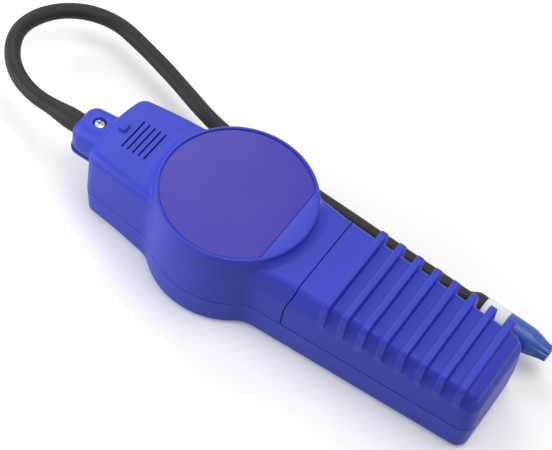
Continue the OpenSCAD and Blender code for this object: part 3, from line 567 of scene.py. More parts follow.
# One side of a rib's profile: a hollow foot, an upright wall and a round crown, as (distance, height)
def ribProfile():
    c, half = cover, cover["thick"] / 2
    grow, shrink = np.array(bend([0, 22, 45, 67, 90])).T
    foot = np.column_stack([half + c["foot"] * shrink, c["foot"] * grow])
    crown = np.column_stack([half - c["crown"] * grow, c["rise"] - c["crown"] * shrink])
    return np.concatenate([foot, crown])


# Places of the rows along X, with the share of a rib's rise at each
def coverRows():
    c, h = cover, housing
    away, height = ribProfile().T
    ribXs = np.concatenate([-away, [0], away[::-1], [c["pitch"] / 2]])
    ribShares = np.concatenate([height, [c["rise"]], height[::-1], [0]]) / c["rise"]
    middles = h["splitX"] + c["start"] + c["pitch"] * np.arange(c["ribs"])
    lead = h["splitX"] + h["seam"] + np.array(c["leadRows"])
    xs = np.concatenate([lead, (middles[:, None] + ribXs).ravel()])
    shares = np.concatenate([0 * lead, np.tile(ribShares, c["ribs"])])
    keep = xs < handleEnd - h["rowGap"]
    return xs[keep], shares[keep]


# Each row of the plain back moves towards the raised back by its share of the rise
def coverGrid(wall):
    xs, shares = (values[::-1] for values in coverRows())
    butt = outline["butt"]
    samples = stacked(butt, straight(xs, handleHalf(xs)))
    base = backGrid(samples, wall)
    if wall == 0:
        raised = backGrid(samples, 0.0, cover["rise"], cover["lean"], cover["round"], cover["swell"])
        base = base + np.concatenate([np.zeros(len(butt[0])), shares])[:, None, None] * (raised - base)
    whole = wholeGrid(base)
    whole[..., 2] = np.maximum(whole[..., 2], housing["partingZ"] + housing["seam"])
    return sweepSplit(np.concatenate([closedRow(whole[0]), whole]))


# The tab reaches under the back shell's edge
def coverTab():
    c, splitX = cover, housing["splitX"]
    top = float(backZ(np.array(splitX))) - housing["wall"] - c["tabGap"]
    low = (splitX - c["tabLength"], -c["tabHalf"], top - c["tabThick"])
    high = (splitX + 2 * c["tabLength"], c["tabHalf"], top + c["tabOverlap"])
    return roundedBox(low, high, c["tabRound"])


coverSkin = shellOf(coverGrid(0.0), coverGrid(housing["wall"]), openEnd=True)
skinPiece("batteryCover", joined(coverSkin, coverTab()), housingAbs, "battery_cover", "cover")
print("battery cover made")

# Back shell: head and neck in one grid, cut by the sound slots, with the plateau standing on it

backShell = {
    "neckRows": (0.0, 0.3, 2.0), "sideRows": 9,
    "plateauR": 29.8, "plateauZ": 39.6, "rim": 1.0, "rimRound": 0.1, "labelR": 28.4, "labelFlat": 22.2,
    "seatZ": 38.8, "flareHandle": 4.5, "flareHead": 5.0, "flareLeast": 0.3, "flareShare": 0.8,
    "flareClear": 0.9, "hollowFrom": 1.3, "hollowOver": 1.5, "sunk": 0.05, "flankOut": 0.53,
    "flankZ": 31.0, "flankCurve": 1.43, "skirt": 2.0, "underZ": 30.0,
    "slots": 5, "slotPitch": 2.4, "slotLength": 13.6, "slotWidth": 0.7, "slotCut": (30, 40),
    "slotEndPoints": 9, "padAt": (-49.85, 0.4), "padSize": (3.0, 3.8), "padRise": 1.2, "padSunk": 1.0,
    "padRound": 0.35, "lipHalf": 15.6, "lipTop": 28.0, "lipThick": 2.0, "lipEnd": 46.1, "lipRound": 0.35,
    "bulkheadX": 32.9, "bulkheadGap": 0.2, "bulkheadFoot": 0.1, "bulkheadRound": 0.3,
}
bearingCount = 160
finePoints = 4000


def shellGrid(wall):
    xs = housing["splitX"] - np.array(backShell["neckRows"])
    xs = xs[xs > handleStart + housing["rowGap"]]
    samples = stacked(straight(xs, handleHalf(xs)), *headStretches(backShell["sideRows"]))
    whole = wholeGrid(backGrid(samples, wall))
    return sweepSplit(np.concatenate([whole, closedRow(whole[-1])]))


# Distance from places inside the housing to its outline, by the nearest of many points along it
def outlineGap(places):
    line = np.concatenate([stretch[0] for stretch in outline.values()])
    fine = np.linspace(0, len(line) - 1, finePoints)
    line = np.stack([np.interp(fine, np.arange(len(line)), line[:, k]) for k in (0, 1)], -1)
    upper = np.stack([places[:, 0], np.abs(places[:, 1])], -1)
    return np.linalg.norm(upper[:, None] - line, axis=2).min(1)


# Height of the base's back at places a given distance inside the outline: flat, then round the edge
def baseHeight(x, gap):
    top, e = backZ(x), edgeRadius(x)
    inside = gap - backDraft(x) * (top - e - housing["partingZ"]) - leanIn(x)
    return top - e + np.sqrt(np.maximum(e ** 2 - np.clip(e - inside, 0, e) ** 2, 0))


# Reach of a circle that is cut off straight on its handle side
def recessReach(turn, radius, flat):
    cosine = np.cos(turn)
    return np.where(cosine > flat / radius, flat / np.maximum(cosine, tiny), radius)


# Bearings round the middle, with the two corners of the label's straight edge among them
def bearings(radius, flat):
    corner = math.acos(flat / radius)
    even = np.linspace(-math.pi, math.pi, bearingCount, endpoint=False)
    return np.sort(np.concatenate([even, [corner, -corner]]))


# Plateau: at every bearing a recess, a rim and a fall. Where the outline leaves room the fall is a hollow
# flare that ends on the back, and where it doesn't, a flank that bends down into the side wall
def plateauSkin():
    s = backShell
    turn = bearings(s["labelR"], s["labelFlat"])
    recess = recessReach(turn, s["labelR"], s["labelFlat"])
    way = np.stack([np.cos(turn), np.sin(turn)], -1)
    room = outlineGap(s["plateauR"] * way)
    hollow = smoothStep((room - s["hollowFrom"]) / s["hollowOver"])
    widest = np.where(way[:, 0] < 0, s["flareHead"], s["flareHandle"])
    free = np.clip(s["flareShare"] * (room - s["flareClear"]), s["flareLeast"], widest)
    foot = (s["plateauR"] + free)[:, None] * way
    rest = baseHeight(foot[:, 0], outlineGap(foot)) - s["sunk"]
    flare = s["flankOut"] + (free - s["flankOut"]) * hollow
    footZ = s["flankZ"] + (rest - s["flankZ"]) * hollow
    top, r, rim, lip = s["plateauZ"], s["plateauR"], s["rim"], s["rimRound"]
    rings = [(0, s["seatZ"]), (recess, s["seatZ"])]
    rings += [(recess + lip * grow, top - lip * shrink) for grow, shrink in bend([0, 45, 90])]
    rings += [(r - rim * shrink, top - rim * grow) for grow, shrink in bend(np.linspace(0, 90, 8))]
    for grow, shrink in bend(np.linspace(0, 90, 13)[1:]):
        flank = grow * (s["flankCurve"] - (s["flankCurve"] - 1) * grow)
        out = hollow * grow + (1 - hollow) * flank
        down = hollow * (1 - shrink) + (1 - hollow) * grow
        rings.append((r + flare * out, top - rim - (top - rim - footZ) * down))
    rings += [(r + flare, footZ - s["skirt"]), (0, s["underZ"])]
    return ringSkin(turn, rings)


# Slot cutters: one long prism with round ends for each sound slot
def slotCutters():
    s = backShell
    half, count = s["slotEndPoints"], 2 * s["slotEndPoints"]
    turn = np.concatenate([np.linspace(0, math.pi, half), np.linspace(math.pi, 2 * math.pi, half)])
    shift = np.repeat([1, -1], half) * s["slotLength"] / 2
    ring = np.stack([s["slotWidth"] / 2 * np.cos(turn), s["slotWidth"] / 2 * np.sin(turn) + shift], -1)
    faces = gridFaces(2, count, wrap=True) + [list(range(count)), list(range(count, 2 * count))]
    parts = []
    for k in range(s["slots"]):
        place = (housing["slotX"] - k * s["slotPitch"], 0)
        points = [np.column_stack([ring + place, np.full(count, z)]) for z in s["slotCut"]]
        parts.append((np.concatenate(points), faces))
    return joined(*parts)


# Small pad: a cushion of plastic with soft edges
def padSkin():
    s = backShell
    (x, y), (l, w) = s["padAt"], s["padSize"]
    z = float(backZ(np.array(x)))
    low, high = (x - l / 2, y - w / 2, z - s["padSunk"]), (x + l / 2, y + w / 2, z + s["padRise"])
    return roundedBox(low, high, s["padRound"])


# Lip under the cover that carries the handle's screws, and the bulkhead below it
def lipSkin():
    s, wall = backShell, housing["wall"]
    x, half, top = s["bulkheadX"], s["lipHalf"], s["lipTop"]
    lip = roundedBox((x, -half, top - s["lipThick"]), (s["lipEnd"], half, top), s["lipRound"])
    inside = handleHalf(x) - wall - s["bulkheadGap"]
    foot = housing["partingZ"] + s["bulkheadFoot"]
    return joined(lip, roundedBox((x, -inside, foot), (x + wall, inside, top), s["bulkheadRound"]))


shellSkin = shellOf(shellGrid(0.0), shellGrid(housing["wall"]), openStart=True)
cut(skinPiece("backShell", shellSkin, housingAbs, "back_shell"), slotCutters())
skinPiece("plateau", plateauSkin(), housingAbs, "back_shell")
skinPiece("headPad", padSkin(), housingAbs, "back_shell")
skinPiece("coverLip", lipSkin(), housingAbs, "back_shell")
print("back shell made")

# Clamp nose: each bearing about the screw's axis runs from the screw's cup over the top and down the side

nose = {
    "x": -69.0, "half": 8.3, "top": 30.0, "rise": 2.2, "bottom": 17.7, "corner": 5.2, "leastCorner": 0.3,
    "edge": 5.2, "foot": 1.2, "backX": -50.0, "backReach": 3.0, "screwX": -60.4, "cupR": 2.55, "cupZ": 27.9,
    "cupRound": 0.15, "cupWall": 0.4, "sides": 128, "axisZ": 22.5, "channelR": 3.75, "mouth": 1.6,
    "mouthFlare": 0.5, "channelLead": 1.0, "channelEnd": -52.0,
}


# Distance from the screw's axis to the nose's plan: a rectangle with round front corners, less an inset
def noseReach(turn, inset):
    n = nose
    low, high = n["x"] + inset - n["screwX"], n["backX"] + n["backReach"] - n["screwX"]
    half, corner = n["half"] - inset, max(n["corner"] - inset, n["leastCorner"])
    c, s = np.cos(turn), np.sin(turn)
    toSide = half / np.maximum(np.abs(s), tiny)
    toEnd = np.where(c < 0, low, high) / np.where(np.abs(c) < tiny, tiny, c)
    reach = np.minimum(toSide, toEnd)
    centreX, centreY = low + corner, half - corner
    along = c * centreX + np.abs(s) * centreY
    gap = along ** 2 - (centreX ** 2 + centreY ** 2 - corner ** 2)
    rounded = along + np.sqrt(np.maximum(gap, 0))
    inCorner = (c * reach < centreX) & (np.abs(s) * reach > centreY) & (gap > 0)
    return np.where(inCorner, rounded, reach)


def noseSkin():
    n = nose
    turn = np.linspace(-math.pi, math.pi, n["sides"], endpoint=False)
    slope = n["rise"] / (n["backX"] - n["x"] - n["corner"])

    # A ring that follows the sloping top, a drop below it
    def ring(reach, drop=0.0):
        x = n["screwX"] + reach * np.cos(turn)
        z = n["top"] + slope * np.maximum(x - n["x"] - n["corner"], 0) - drop
        return np.stack([x, reach * np.sin(turn), z], -1)

    def levelRing(reach, z):
        return ring(reach) * (1, 1, 0) + (0, 0, z)

    cup, lip, edge, foot = n["cupR"], n["cupRound"], n["edge"], n["foot"]
    inner, least = cup + lip, cup + lip + n["cupWall"]
    rings = [levelRing(reach, n["cupZ"]) for reach in (0.0, cup)]
    rings += [ring(cup + lip * grow, lip * shrink) for grow, shrink in softBend]
    flatEnd = np.maximum(noseReach(turn, edge), least)
    rings += [ring(inner + (flatEnd - inner) * t) for t in (0.3, 0.65, 1.0)]
    for grow, shrink in bend(np.linspace(0, 90, 10)[1:]):
        rings.append(ring(np.maximum(noseReach(turn, edge * shrink), least), edge * grow))
    for grow, shrink in softBend:
        rings.append(levelRing(noseReach(turn, foot * grow), n["bottom"] + foot * shrink))
    rings.append(levelRing(0.0, n["bottom"]))
    return np.concatenate(rings), gridFaces(len(rings), len(turn), wrap=True)


# Channel cutter: a bore along the probe, wider at its mouth
def channelCutter():
    n = nose
    start, end, r = n["x"] - n["channelLead"], n["channelEnd"], n["channelR"]
    mouthR = r + n["mouth"] + n["mouthFlare"]
    profile = [(start, 0), (start, mouthR), (n["x"] + n["mouth"], r), (end, r), (end, 0)]
    return turned(profile, middleSides, (0, 0, n["axisZ"]), (1, 0, 0))


cut(skinPiece("clampNose", noseSkin(), housingAbs, "back_shell"), channelCutter())
print("clamp nose made")

# Front shell: the lower grid, with holes for the keys and lamps and posts for the handle's screws

frontShell = {
    "handleRows": 14, "sideRows": 7, "rowEnd": 1.0, "keyR": 5.6, "keyGap": 0.3,
    "keys": {"power": (12.1, 9.6), "reset": (12.1, -9.6), "sensitivity_up": (-7.1, 9.6),
             "sensitivity_down": (-7.1, -9.6)},
    "lamps": 7, "lampArc": 23.0, "lampSpread": 100.0, "lampR": 1.5, "lampGap": 0.15, "holeOver": 1.0,
    "holeFlare": 0.6, "holeEdge": 0.25, "postAt": (42.1, 11.0), "postR": 3.2, "postFoot": 1.5,
    "postTop": 26.0, "postBore": 1.3, "boreZ": 16.0,
}


def frontShellGrid(wall):
    f = frontShell
    xs = np.linspace(handleEnd - f["rowEnd"], handleStart + f["rowEnd"], f["handleRows"])
    samples = stacked(outline["butt"], straight(xs, handleHalf(xs)), *headStretches(f["sideRows"]))
    whole = wholeGrid(frontGrid(samples, wall))
    return np.concatenate([closedRow(whole[0]), whole, closedRow(whole[-1])])


# Lamps stand at even angles on an arc round the middle, on the head's side
def lampPlaces():
    f = frontShell
    turn = np.radians(180 + f["lampSpread"] * (np.arange(f["lamps"]) / (f["lamps"] - 1) - 0.5))
    return f["lampArc"] * np.stack([np.cos(turn), np.sin(turn)], -1)


# Hole cutter: a bore through the face, wider at its mouth
def holeCutter(place, r):
    f = frontShell
    over, edge, end = f["holeOver"], f["holeEdge"], housing["wall"] + f["holeOver"]
    profile = [(-over, 0), (-over, r + f["holeFlare"]), (0, r + edge), (edge, r), (end, r), (end, 0)]
    return turned(profile, middleSides, (*place, 0))


# Post: a tube with a bore from its top
def postSkin(side):
    f = frontShell
    top, r, bore = f["postTop"], f["postR"], f["postBore"]
    profile = [(f["postFoot"], r), (top, r), (top, bore), (f["boreZ"], bore)]
    return turned(profile, smallSides, (f["postAt"][0], side * f["postAt"][1], 0))


def frontShellPieces():
    f = frontShell
    skin = shellOf(frontShellGrid(0.0), frontShellGrid(housing["wall"]))
    holes = [holeCutter(place, f["keyR"] + f["keyGap"]) for place in f["keys"].values()]
    holes += [holeCutter(place, f["lampR"] + f["lampGap"]) for place in lampPlaces()]
    cut(skinPiece("frontShell", skin, housingAbs, "front_shell"), joined(*holes))
    skinPiece("coverPosts", joined(postSkin(1), postSkin(-1)), housingAbs, "front_shell")


frontShellPieces()
print("front shell made")

# Label: a thin film with one straight edge and a softly rounded rim

label = {"r": 28.0, "flat": 21.8, "seatZ": 38.8, "thick": 0.35, "round": 0.12, "innerShare": 0.5}


def labelSkin():
    turn = bearings(label["r"], label["flat"])
    top, rounding = label["seatZ"] + label["thick"], label["round"]
    reach = recessReach(turn, label["r"], label["flat"])
    rings = [(0, top), (reach * label["innerShare"], top)]
    rings += [(reach - rounding * shrink, top - rounding * grow) for grow, shrink in softBend]
    rings += [(reach, label["seatZ"]), (0, label["seatZ"])]
    return ringSkin(turn, rings)


skinPiece("label", labelSkin(), labelFilm, "label")

# Screws: a low dome whose height drops inside a cross, on a shank

screws = {
    "dome": 0.5, "edge": 0.3, "edgeSteps": 4, "crossHalf": 0.36, "crossReach": 0.7, "crossDepth": 1.4,
    "sideSoft": 0.12, "endSoft": 0.2, "rings": 22, "sides": 96,
    "clamp": {"seatZ": 27.9, "endZ": 16.8, "shankR": 1.5, "headR": 2.0, "headH": 2.3},
    "handle": {"seatZ": 28.0, "endZ": 18.0, "shankR": 1.35, "headR": 2.4, "headH": 1.6},
}


def screwSkin(place, seatZ, endZ, shankR, headR, headH):
    s = screws
    turn = np.linspace(0, 2 * math.pi, s["sides"], endpoint=False)
    flatR = headR - s["edge"]
    r, a = np.meshgrid(np.linspace(0, flatR, s["rings"]), turn, indexing="ij")
    x, y = r * np.cos(a), r * np.sin(a)
    arms = []
    for across, along in ((x, y), (y, x)):
        side = smoothStep((s["crossHalf"] - np.abs(across)) / s["sideSoft"] + 0.5)
        arms.append(side * smoothStep((s["crossReach"] * headR - np.abs(along)) / s["endSoft"] + 0.5))
    z = seatZ + headH - s["dome"] * (r / headR) ** 2 - s["crossDepth"] * np.maximum(*arms)
    top = np.stack([x, y, z], -1).reshape(-1, 3)
    edgeZ = seatZ + headH - s["dome"] * (flatR / headR) ** 2
    profile = quarter((edgeZ - s["edge"], flatR), s["edge"], 0, 90, s["edgeSteps"])
    profile += [(seatZ, headR), (seatZ, shankR), (endZ, shankR), (endZ, 0)]
    points, faces = joined((top, gridFaces(s["rings"], s["sides"], wrap=True)), turned(profile, s["sides"]))
    return points + (*place, 0), faces


postX, postY = frontShell["postAt"]
clampScrew = screwSkin((nose["screwX"], 0), **screws["clamp"])
handleScrews = [screwSkin((postX, side * postY), **screws["handle"]) for side in (1, -1)]
skinPiece("clampScrew", clampScrew, zincSteel, "clamp_screw")
skinPiece("handleScrews", joined(*handleScrews), zincSteel, "handle_screws")
print("label and screws made")

# Probe: the route in plan is straights (length, 0) and bends (radius, turn), sinking smoothly after the first

probe = {
    "start": (-57.0, 0.0), "heading": 180.0, "z": 22.5, "sink": 10.5, "fallLegs": (1, 5), "pointGap": 1.2,
    "route": ((28.4, 0), (31.7, -66.3), (20.8, -30.4), (27.2, -92.7), (187, -9.9), (10, 0), (110.7, 16.3),
              (96.4, 0)),
    "sleeveR": 3.15, "rootR": 4.2, "rootX": -68.7, "stepX": -72.0, "narrowX": -85.0, "rootGap": 0.5,
    "rootRound": ((0.0, 0.3), (0.06, 0.14), (0.2, 0.04), (0.4, 0.0)),  # distance along, drawn in
    "waist": 0.03, "waistLength": 3.1, "waistFade": 6.0, "linedPoints": 12, "lining": 0.02,
    "ferruleR": 3.6, "ferruleEndR": 3.4, "ferruleBore": 2.6, "ferruleEdge": 0.2, "ferrule": (-76.0, -53.8),
}


# Points along the route about a millimetre apart, sunk by the distance travelled, and the last heading
def routePoints():
    p = probe
    place, heading = np.array(p["start"]), math.radians(p["heading"])
    points, travelled, legs = [place[None]], [np.zeros(1)], [0.0]
    for size, turnDegrees in p["route"]:
        turn = math.radians(turnDegrees)
        length = size * (abs(turn) if turn else 1)
        t = np.linspace(0, 1, max(int(length / p["pointGap"]), 2) + 1)[1:]
        if turn:
            sign = math.copysign(1, turn)
            centre = place + size * sign * np.array([-math.sin(heading), math.cos(heading)])
            angle = heading - sign * math.pi / 2 + turn * t
            leg = centre + size * np.stack([np.cos(angle), np.sin(angle)], -1)
        else:
            leg = place + size * t[:, None] * np.array([math.cos(heading), math.sin(heading)])
        points.append(leg)
        travelled.append(legs[-1] + length * t)
        legs.append(legs[-1] + length)
        place, heading = leg[-1], heading + turn
    plan, distance = np.concatenate(points), np.concatenate(travelled)
    low, high = (legs[k] for k in p["fallLegs"])
    z = p["z"] - p["sink"] * smoothStep((distance - low) / (high - low))
    return np.column_stack([plan, z]), heading


probePath, tipHeading = routePoints()
tipOrigin = probePath[-1]
tipAxis = np.array([math.cos(tipHeading), math.sin(tipHeading), 0.0])


# Shrunk sleeve: wide over the ferrule, drawn in over a few millimetres, with faint waves from shrinking
def sleeveSkin():
    p = probe
    away, drawnIn = np.array(p["rootRound"]).T
    travelled = np.concatenate([[0], np.cumsum(np.linalg.norm(np.diff(probePath, axis=0), axis=1))])
    startAt, stepAt, narrowAt = (p["start"][0] - p[k] for k in ("rootX", "stepX", "narrowX"))
    keep = travelled > startAt + p["rootGap"]
    lead = np.column_stack([p["rootX"] - away, 0 * away, p["z"] + 0 * away])
    path = np.concatenate([lead, probePath[keep]])
    distance = np.concatenate([startAt + away, travelled[keep]])
    radii = p["rootR"] + (p["sleeveR"] - p["rootR"]) * smoothStep((distance - stepAt) / (narrowAt - stepAt))
    waves = p["waist"] * np.sin(distance / p["waistLength"])
    radii += waves * smoothStep((distance - narrowAt) / p["waistFade"])
    radii[:len(away)] -= drawnIn
    outer = tube(path, radii, smallSides)
    inner = tube(path[:p["linedPoints"]], p["ferruleR"] + p["lining"], smallSides)
    points, faces = joined(outer, inner)
    here, start = np.arange(smallSides), len(outer[0])
    there = (here + 1) % smallSides
    return points, faces + np.stack([here, there, there + start, here + start], -1).tolist()


# Ferrule: a tube with chamfered ends
def ferruleSkin():
    p = probe
    (front, back), bore, edge = p["ferrule"], p["ferruleBore"], p["ferruleEdge"]
    profile = [(front, bore), (front, p["ferruleEndR"]), (front + edge, p["ferruleR"])]
    profile += [(back - edge, p["ferruleR"]), (back, p["ferruleEndR"]), (back, bore), (front, bore)]
    return turned(profile, middleSides, (0, 0, p["z"]), (1, 0, 0))


skinPiece("probeSleeve", sleeveSkin(), shrunkSleeve, "probe_sleeve")
skinPiece("probeFerrule", ferruleSkin(), zincSteel, "probe_ferrule")
print("probe sleeve made")

# Sensor end: turned pieces along the probe's last straight

sensorEnd = {
    "boreR": 2.6, "collarLength": 8.0, "collarR": 5.0, "collarRound": 1.1, "collarLead": 0.15,
    "collarTrim": 0.3, "collarFlare": 0.7,
    "guardR": 5.2, "guardLength": 10.0, "guardWall": 1.0, "guardGap": 0.02, "guardEdge": 0.2,
    "spigotR": 4.05, "spigotLength": 4.0, "socketR": 3.9, "socketLength": 5.0, "socketEdge": 0.3,
    "sensorR": 2.6, "sensorLength": 6.0, "sensorRound": 1.0,
    "tipLength": 19.0, "tipStart": 18.05, "tipStraight": 0.48, "tipGap": 0.15, "tipEdge": 0.25,
    "tipEndR": 3.3, "tipHoleR": 1.7, "tipHoleFrom": 6.0, "tipHoleEdge": 0.2,
    "endRound": ((0.3, 0.0), (0.1, 0.1), (0.0, 0.35)),  # back from the end, drawn in
    "flutes": 8, "fluteDepth": 0.6, "fluteCurve": 1.5, "tipSides": 96,
}


# Collar: swells from the sleeve's radius to its own, and ends in a round edge
def collarProfile():
    s = sensorEnd
    length, rounding = s["collarLength"], s["collarRound"]
    t = np.linspace(0, 1, 16)
    swell = probe["sleeveR"] + (s["collarR"] - probe["sleeveR"]) * smoothStep(t / s["collarFlare"])
    body = list(zip(s["collarLead"] + (length - rounding - s["collarTrim"]) * t, swell))
    edge = quarter((length - rounding, s["collarR"] - rounding), rounding, 90, 0)
    return [(0, s["boreR"])] + body + edge + [(length, 0)]


# Guard: a tube with a narrower spigot for the tip cap
def guardProfile():
    s = sensorEnd
    r, wall, edge, spigotR = s["guardR"], s["guardWall"], s["guardEdge"], s["spigotR"]
    start, end = s["collarLength"] + s["guardGap"], s["collarLength"] + s["guardLength"]
    tipEnd, boreR = end + s["spigotLength"], s["sensorR"] + wall
    outside = [(start, r - wall), (start, r - edge), (start + edge, r), (end - edge, r), (end, r - edge)]
    spigot = [(end, spigotR), (tipEnd - edge, spigotR), (tipEnd, spigotR - edge), (tipEnd, boreR)]
    return outside + spigot + [(end - wall, boreR), (end - wall, r - wall), outside[0]]


# Socket: a short drum with a chamfered end
def socketProfile():
    s = sensorEnd
    start, r, edge = s["collarLength"], s["socketR"], s["socketEdge"]
    end = start + s["socketLength"]
    return [(start, 0), (start, r), (end - edge, r), (end, r - edge), (end, 0)]


# Sensor: a can with a round edge
def sensorProfile():
    s = sensorEnd
    start, r, rounding = s["collarLength"] + s["socketLength"], s["sensorR"], s["sensorRound"]
    end = start + s["sensorLength"]
    return [(start, 0), (start, r)] + quarter((end - rounding, r - rounding), rounding, 90, 0) + [(end, 0)]


# Tip cap: a turned taper whose far half is drawn in along eight flutes
def tipSkin():
    s = sensorEnd
    start, end = s["tipStart"], s["tipStart"] + s["tipLength"]
    r, endR, holeR = s["guardR"], s["tipEndR"], s["tipHoleR"]
    shoulder = start + s["tipLength"] * s["tipStraight"]
    back, drawnIn = np.array(s["endRound"]).T
    t = np.linspace(0, 1, 22)[1:]
    taper = shoulder + (end - back[0] - shoulder) * t
    along = np.concatenate([[start, start, start + s["tipEdge"], shoulder], taper, end - back[1:],
                            [end, start + s["tipHoleFrom"]]])
    radius = np.concatenate([[s["spigotR"] + s["tipGap"], r - s["tipEdge"], r, r],
                             r + (endR - r) * smoothStep(t), endR - drawnIn[1:], [holeR, holeR]])
    turn = np.linspace(0, 2 * math.pi, s["tipSides"], endpoint=False)
    far = smoothStep((along - shoulder) / (s["tipLength"] * (1 - s["tipStraight"])))
    far *= radius > holeR + s["tipHoleEdge"]
    valley = np.maximum(np.cos(s["flutes"] * turn), 0) ** s["fluteCurve"]
    fluted = radius[:, None] - s["fluteDepth"] * far[:, None] * valley
    side = np.array([-tipAxis[1], tipAxis[0], 0.0])
    ring = np.cos(turn)[:, None] * side + np.sin(turn)[:, None] * np.array([0, 0, 1.0])
    points = tipOrigin + along[:, None, None] * tipAxis + fluted[..., None] * ring
    return points.reshape(-1, 3), gridFaces(len(along), len(turn), wrap=True)


def alongTip(profile):
    return turned(profile, largeSides, tipOrigin, tipAxis)


skinPiece("sensorCollar", alongTip(collarProfile()), shrunkSleeve, "sensor_collar")
skinPiece("sensorSocket", alongTip(socketProfile()), paleNylon, "sensor_socket")
skinPiece("sensorElement", alongTip(sensorProfile()), zincSteel, "sensor_element")
skinPiece("sensorGuard", alongTip(guardProfile()), guardPlastic, "sensor_guard")
skinPiece("tipCap", tipSkin(), tipPlastic, "tip_cap", "tip")
print("sensor end made")

# Keys and lamps: turned pieces in the front face

keys = {
    "recess": 0.4, "round": 0.6, "dish": 0.25, "flangeZ": 2.25, "flangeR": 6.7, "flangeThick": 1.0,
    "stemR": 1.4, "stemEnd": 5.6,
}
lamps = {
    "front": 0.4, "back": 5.0, "edge": 0.3, "leadOut": 0.75, "leadHalf": 0.25, "leadZ": (4.9, 8.2),
    "leadRound": 0.08,
}


# Key: a dished face with a round edge, a flange behind the shell and a stem to the switch
def keyProfile():
    k, r, edge = keys, frontShell["keyR"], keys["round"]
    profile = [(k["recess"] + k["dish"] * (1 - t * t), (r - edge) * t) for t in np.linspace(0, 1, 8)]
    for grow, shrink in bend([15, 30, 50, 70, 90]):
        profile.append((k["recess"] + edge * grow, r - edge * shrink))
    flangeEnd = k["flangeZ"] + k["flangeThick"]
    profile += [(k["flangeZ"], r), (k["flangeZ"], k["flangeR"]), (flangeEnd, k["flangeR"])]
    return profile + [(flangeEnd, k["stemR"]), (k["stemEnd"], k["stemR"]), (k["stemEnd"], 0)]


for name, place in frontShell["keys"].items():
    keySkin = turned(keyProfile(), largeSides, (*place, 0))
    skinPiece(name + "Key", keySkin, keySilicone, name + "_key", name)


# Lamp: a dome on a short drum, with two leads
def lampSkin(place):
    m, r = lamps, frontShell["lampR"]
    dome = [(m["front"] + r * grow, r * (1 - shrink)) for grow, shrink in edgeBend]
    drum = [(m["back"] - m["edge"], r), (m["back"], r - m["edge"]), (m["back"], 0)]
    leads = []
    for side in (-1, 1):
        x, y, half = place[0] + side * m["leadOut"], place[1], m["leadHalf"]
        low, high = (x - half, y - half, m["leadZ"][0]), (x + half, y + half, m["leadZ"][1])
        leads.append(roundedBox(low, high, m["leadRound"], 2))
    return joined(turned(dome + drum, smallSides, (*place, 0)), *leads)


leakLamps = joined(*[lampSkin(place) for place in lampPlaces()])
skinPiece("leakLamps", leakLamps, lampEpoxy, "leak_lamps")
print("keys and lamps made")

# Battery bay: cells and springs, seen when the cover is off

bay = {
    "cellR": 7.25, "cellLength": 50.5, "cellY": 7.6, "cellZ": 20.0, "buttonR": 2.7, "buttonRise": 1.2,
    "buttonRound": 0.4, "crimp": 0.6, "crimpIn": 1.4, "dish": 0.25, "dishIn": 2.0, "seat": 0.3,
    "seatOut": 0.6, "turns": 3, "turnPoints": 28, "wireR": 0.45, "wireSides": 10, "coil": (4.4, 2.6),
    "springLength": 4.6,
}


# Cell: a can with crimped edges, a dished end and a button
def cellSkin(x, y, facing):
    b = bay
    length, r, c = b["cellLength"], b["cellR"], b["crimp"]
    body, buttonR, rounding = length - b["buttonRise"], b["buttonR"], b["buttonRound"]
    profile = [(0, 0), (b["dish"], r - b["dishIn"]), (0, r - b["crimpIn"])]
    profile += quarter((c, r - c), c, 180, 90, 4) + quarter((body - c, r - c), c, 90, 0, 4)
    seat = body - b["seat"]
    profile += [(seat, r - b["crimpIn"]), (seat, buttonR + b["seatOut"]), (body, buttonR)]
    profile += quarter((length - rounding, buttonR - rounding), rounding, 90, 0, 3) + [(length, 0)]
    return turned(profile, largeSides, (x, y, b["cellZ"]), (facing, 0, 0))


# Spring: wire carried along a helix that narrows from its foot to its tip
def coilSkin(x, y, facing):
    b = bay
    t = np.linspace(0, 1, b["turnPoints"] * b["turns"])
    angle = 2 * math.pi * b["turns"] * t
    radius = b["coil"][0] + (b["coil"][1] - b["coil"][0]) * t
    along = b["wireR"] + (b["springLength"] - 2 * b["wireR"]) * t
    upright = np.column_stack([radius * np.cos(angle), radius * np.sin(angle), along])
    points, faces = tube(upright, b["wireR"], b["wireSides"], closeEnds=True)
    points = points[:, [2, 0, 1]] * (facing, facing, 1)
    return points + (x, y, b["cellZ"]), faces


cellY = bay["cellY"]
leftX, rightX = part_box("battery_left")[0][0] / mm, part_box("battery_right")[1][0] / mm
springLow, springHigh = (corner[0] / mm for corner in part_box("contact_springs"))
springs = joined(coilSkin(springLow, cellY, 1), coilSkin(springHigh, -cellY, -1))
skinPiece("batteryLeft", cellSkin(leftX, cellY, 1), cellJacket, "battery_left")
skinPiece("batteryRight", cellSkin(rightX, -cellY, -1), cellJacket, "battery_right")
skinPiece("contactSprings", springs, zincSteel, "contact_springs")
print("battery bay made")

# Strap under the nose: a copy of the CAD solid's own shape, welded, smoothed and with its edges softened

strap = {"sharpDegrees": 30, "soften": 0.2, "softenSteps": 2, "softenDegrees": 50}


def strapPiece():
    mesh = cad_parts["probe_clamp"].data.copy()
    mesh.materials.clear()
    piece = newPiece("probeClamp", mesh, housingAbs, "probe_clamp", sharp=strap["sharpDegrees"])
    soften = piece.modifiers.new("soften", "BEVEL")
    soften.width = strap["soften"] * mm
    soften.segments = strap["softenSteps"]
    soften.limit_method = "ANGLE"
    soften.angle_limit = math.radians(strap["softenDegrees"])


strapPiece()

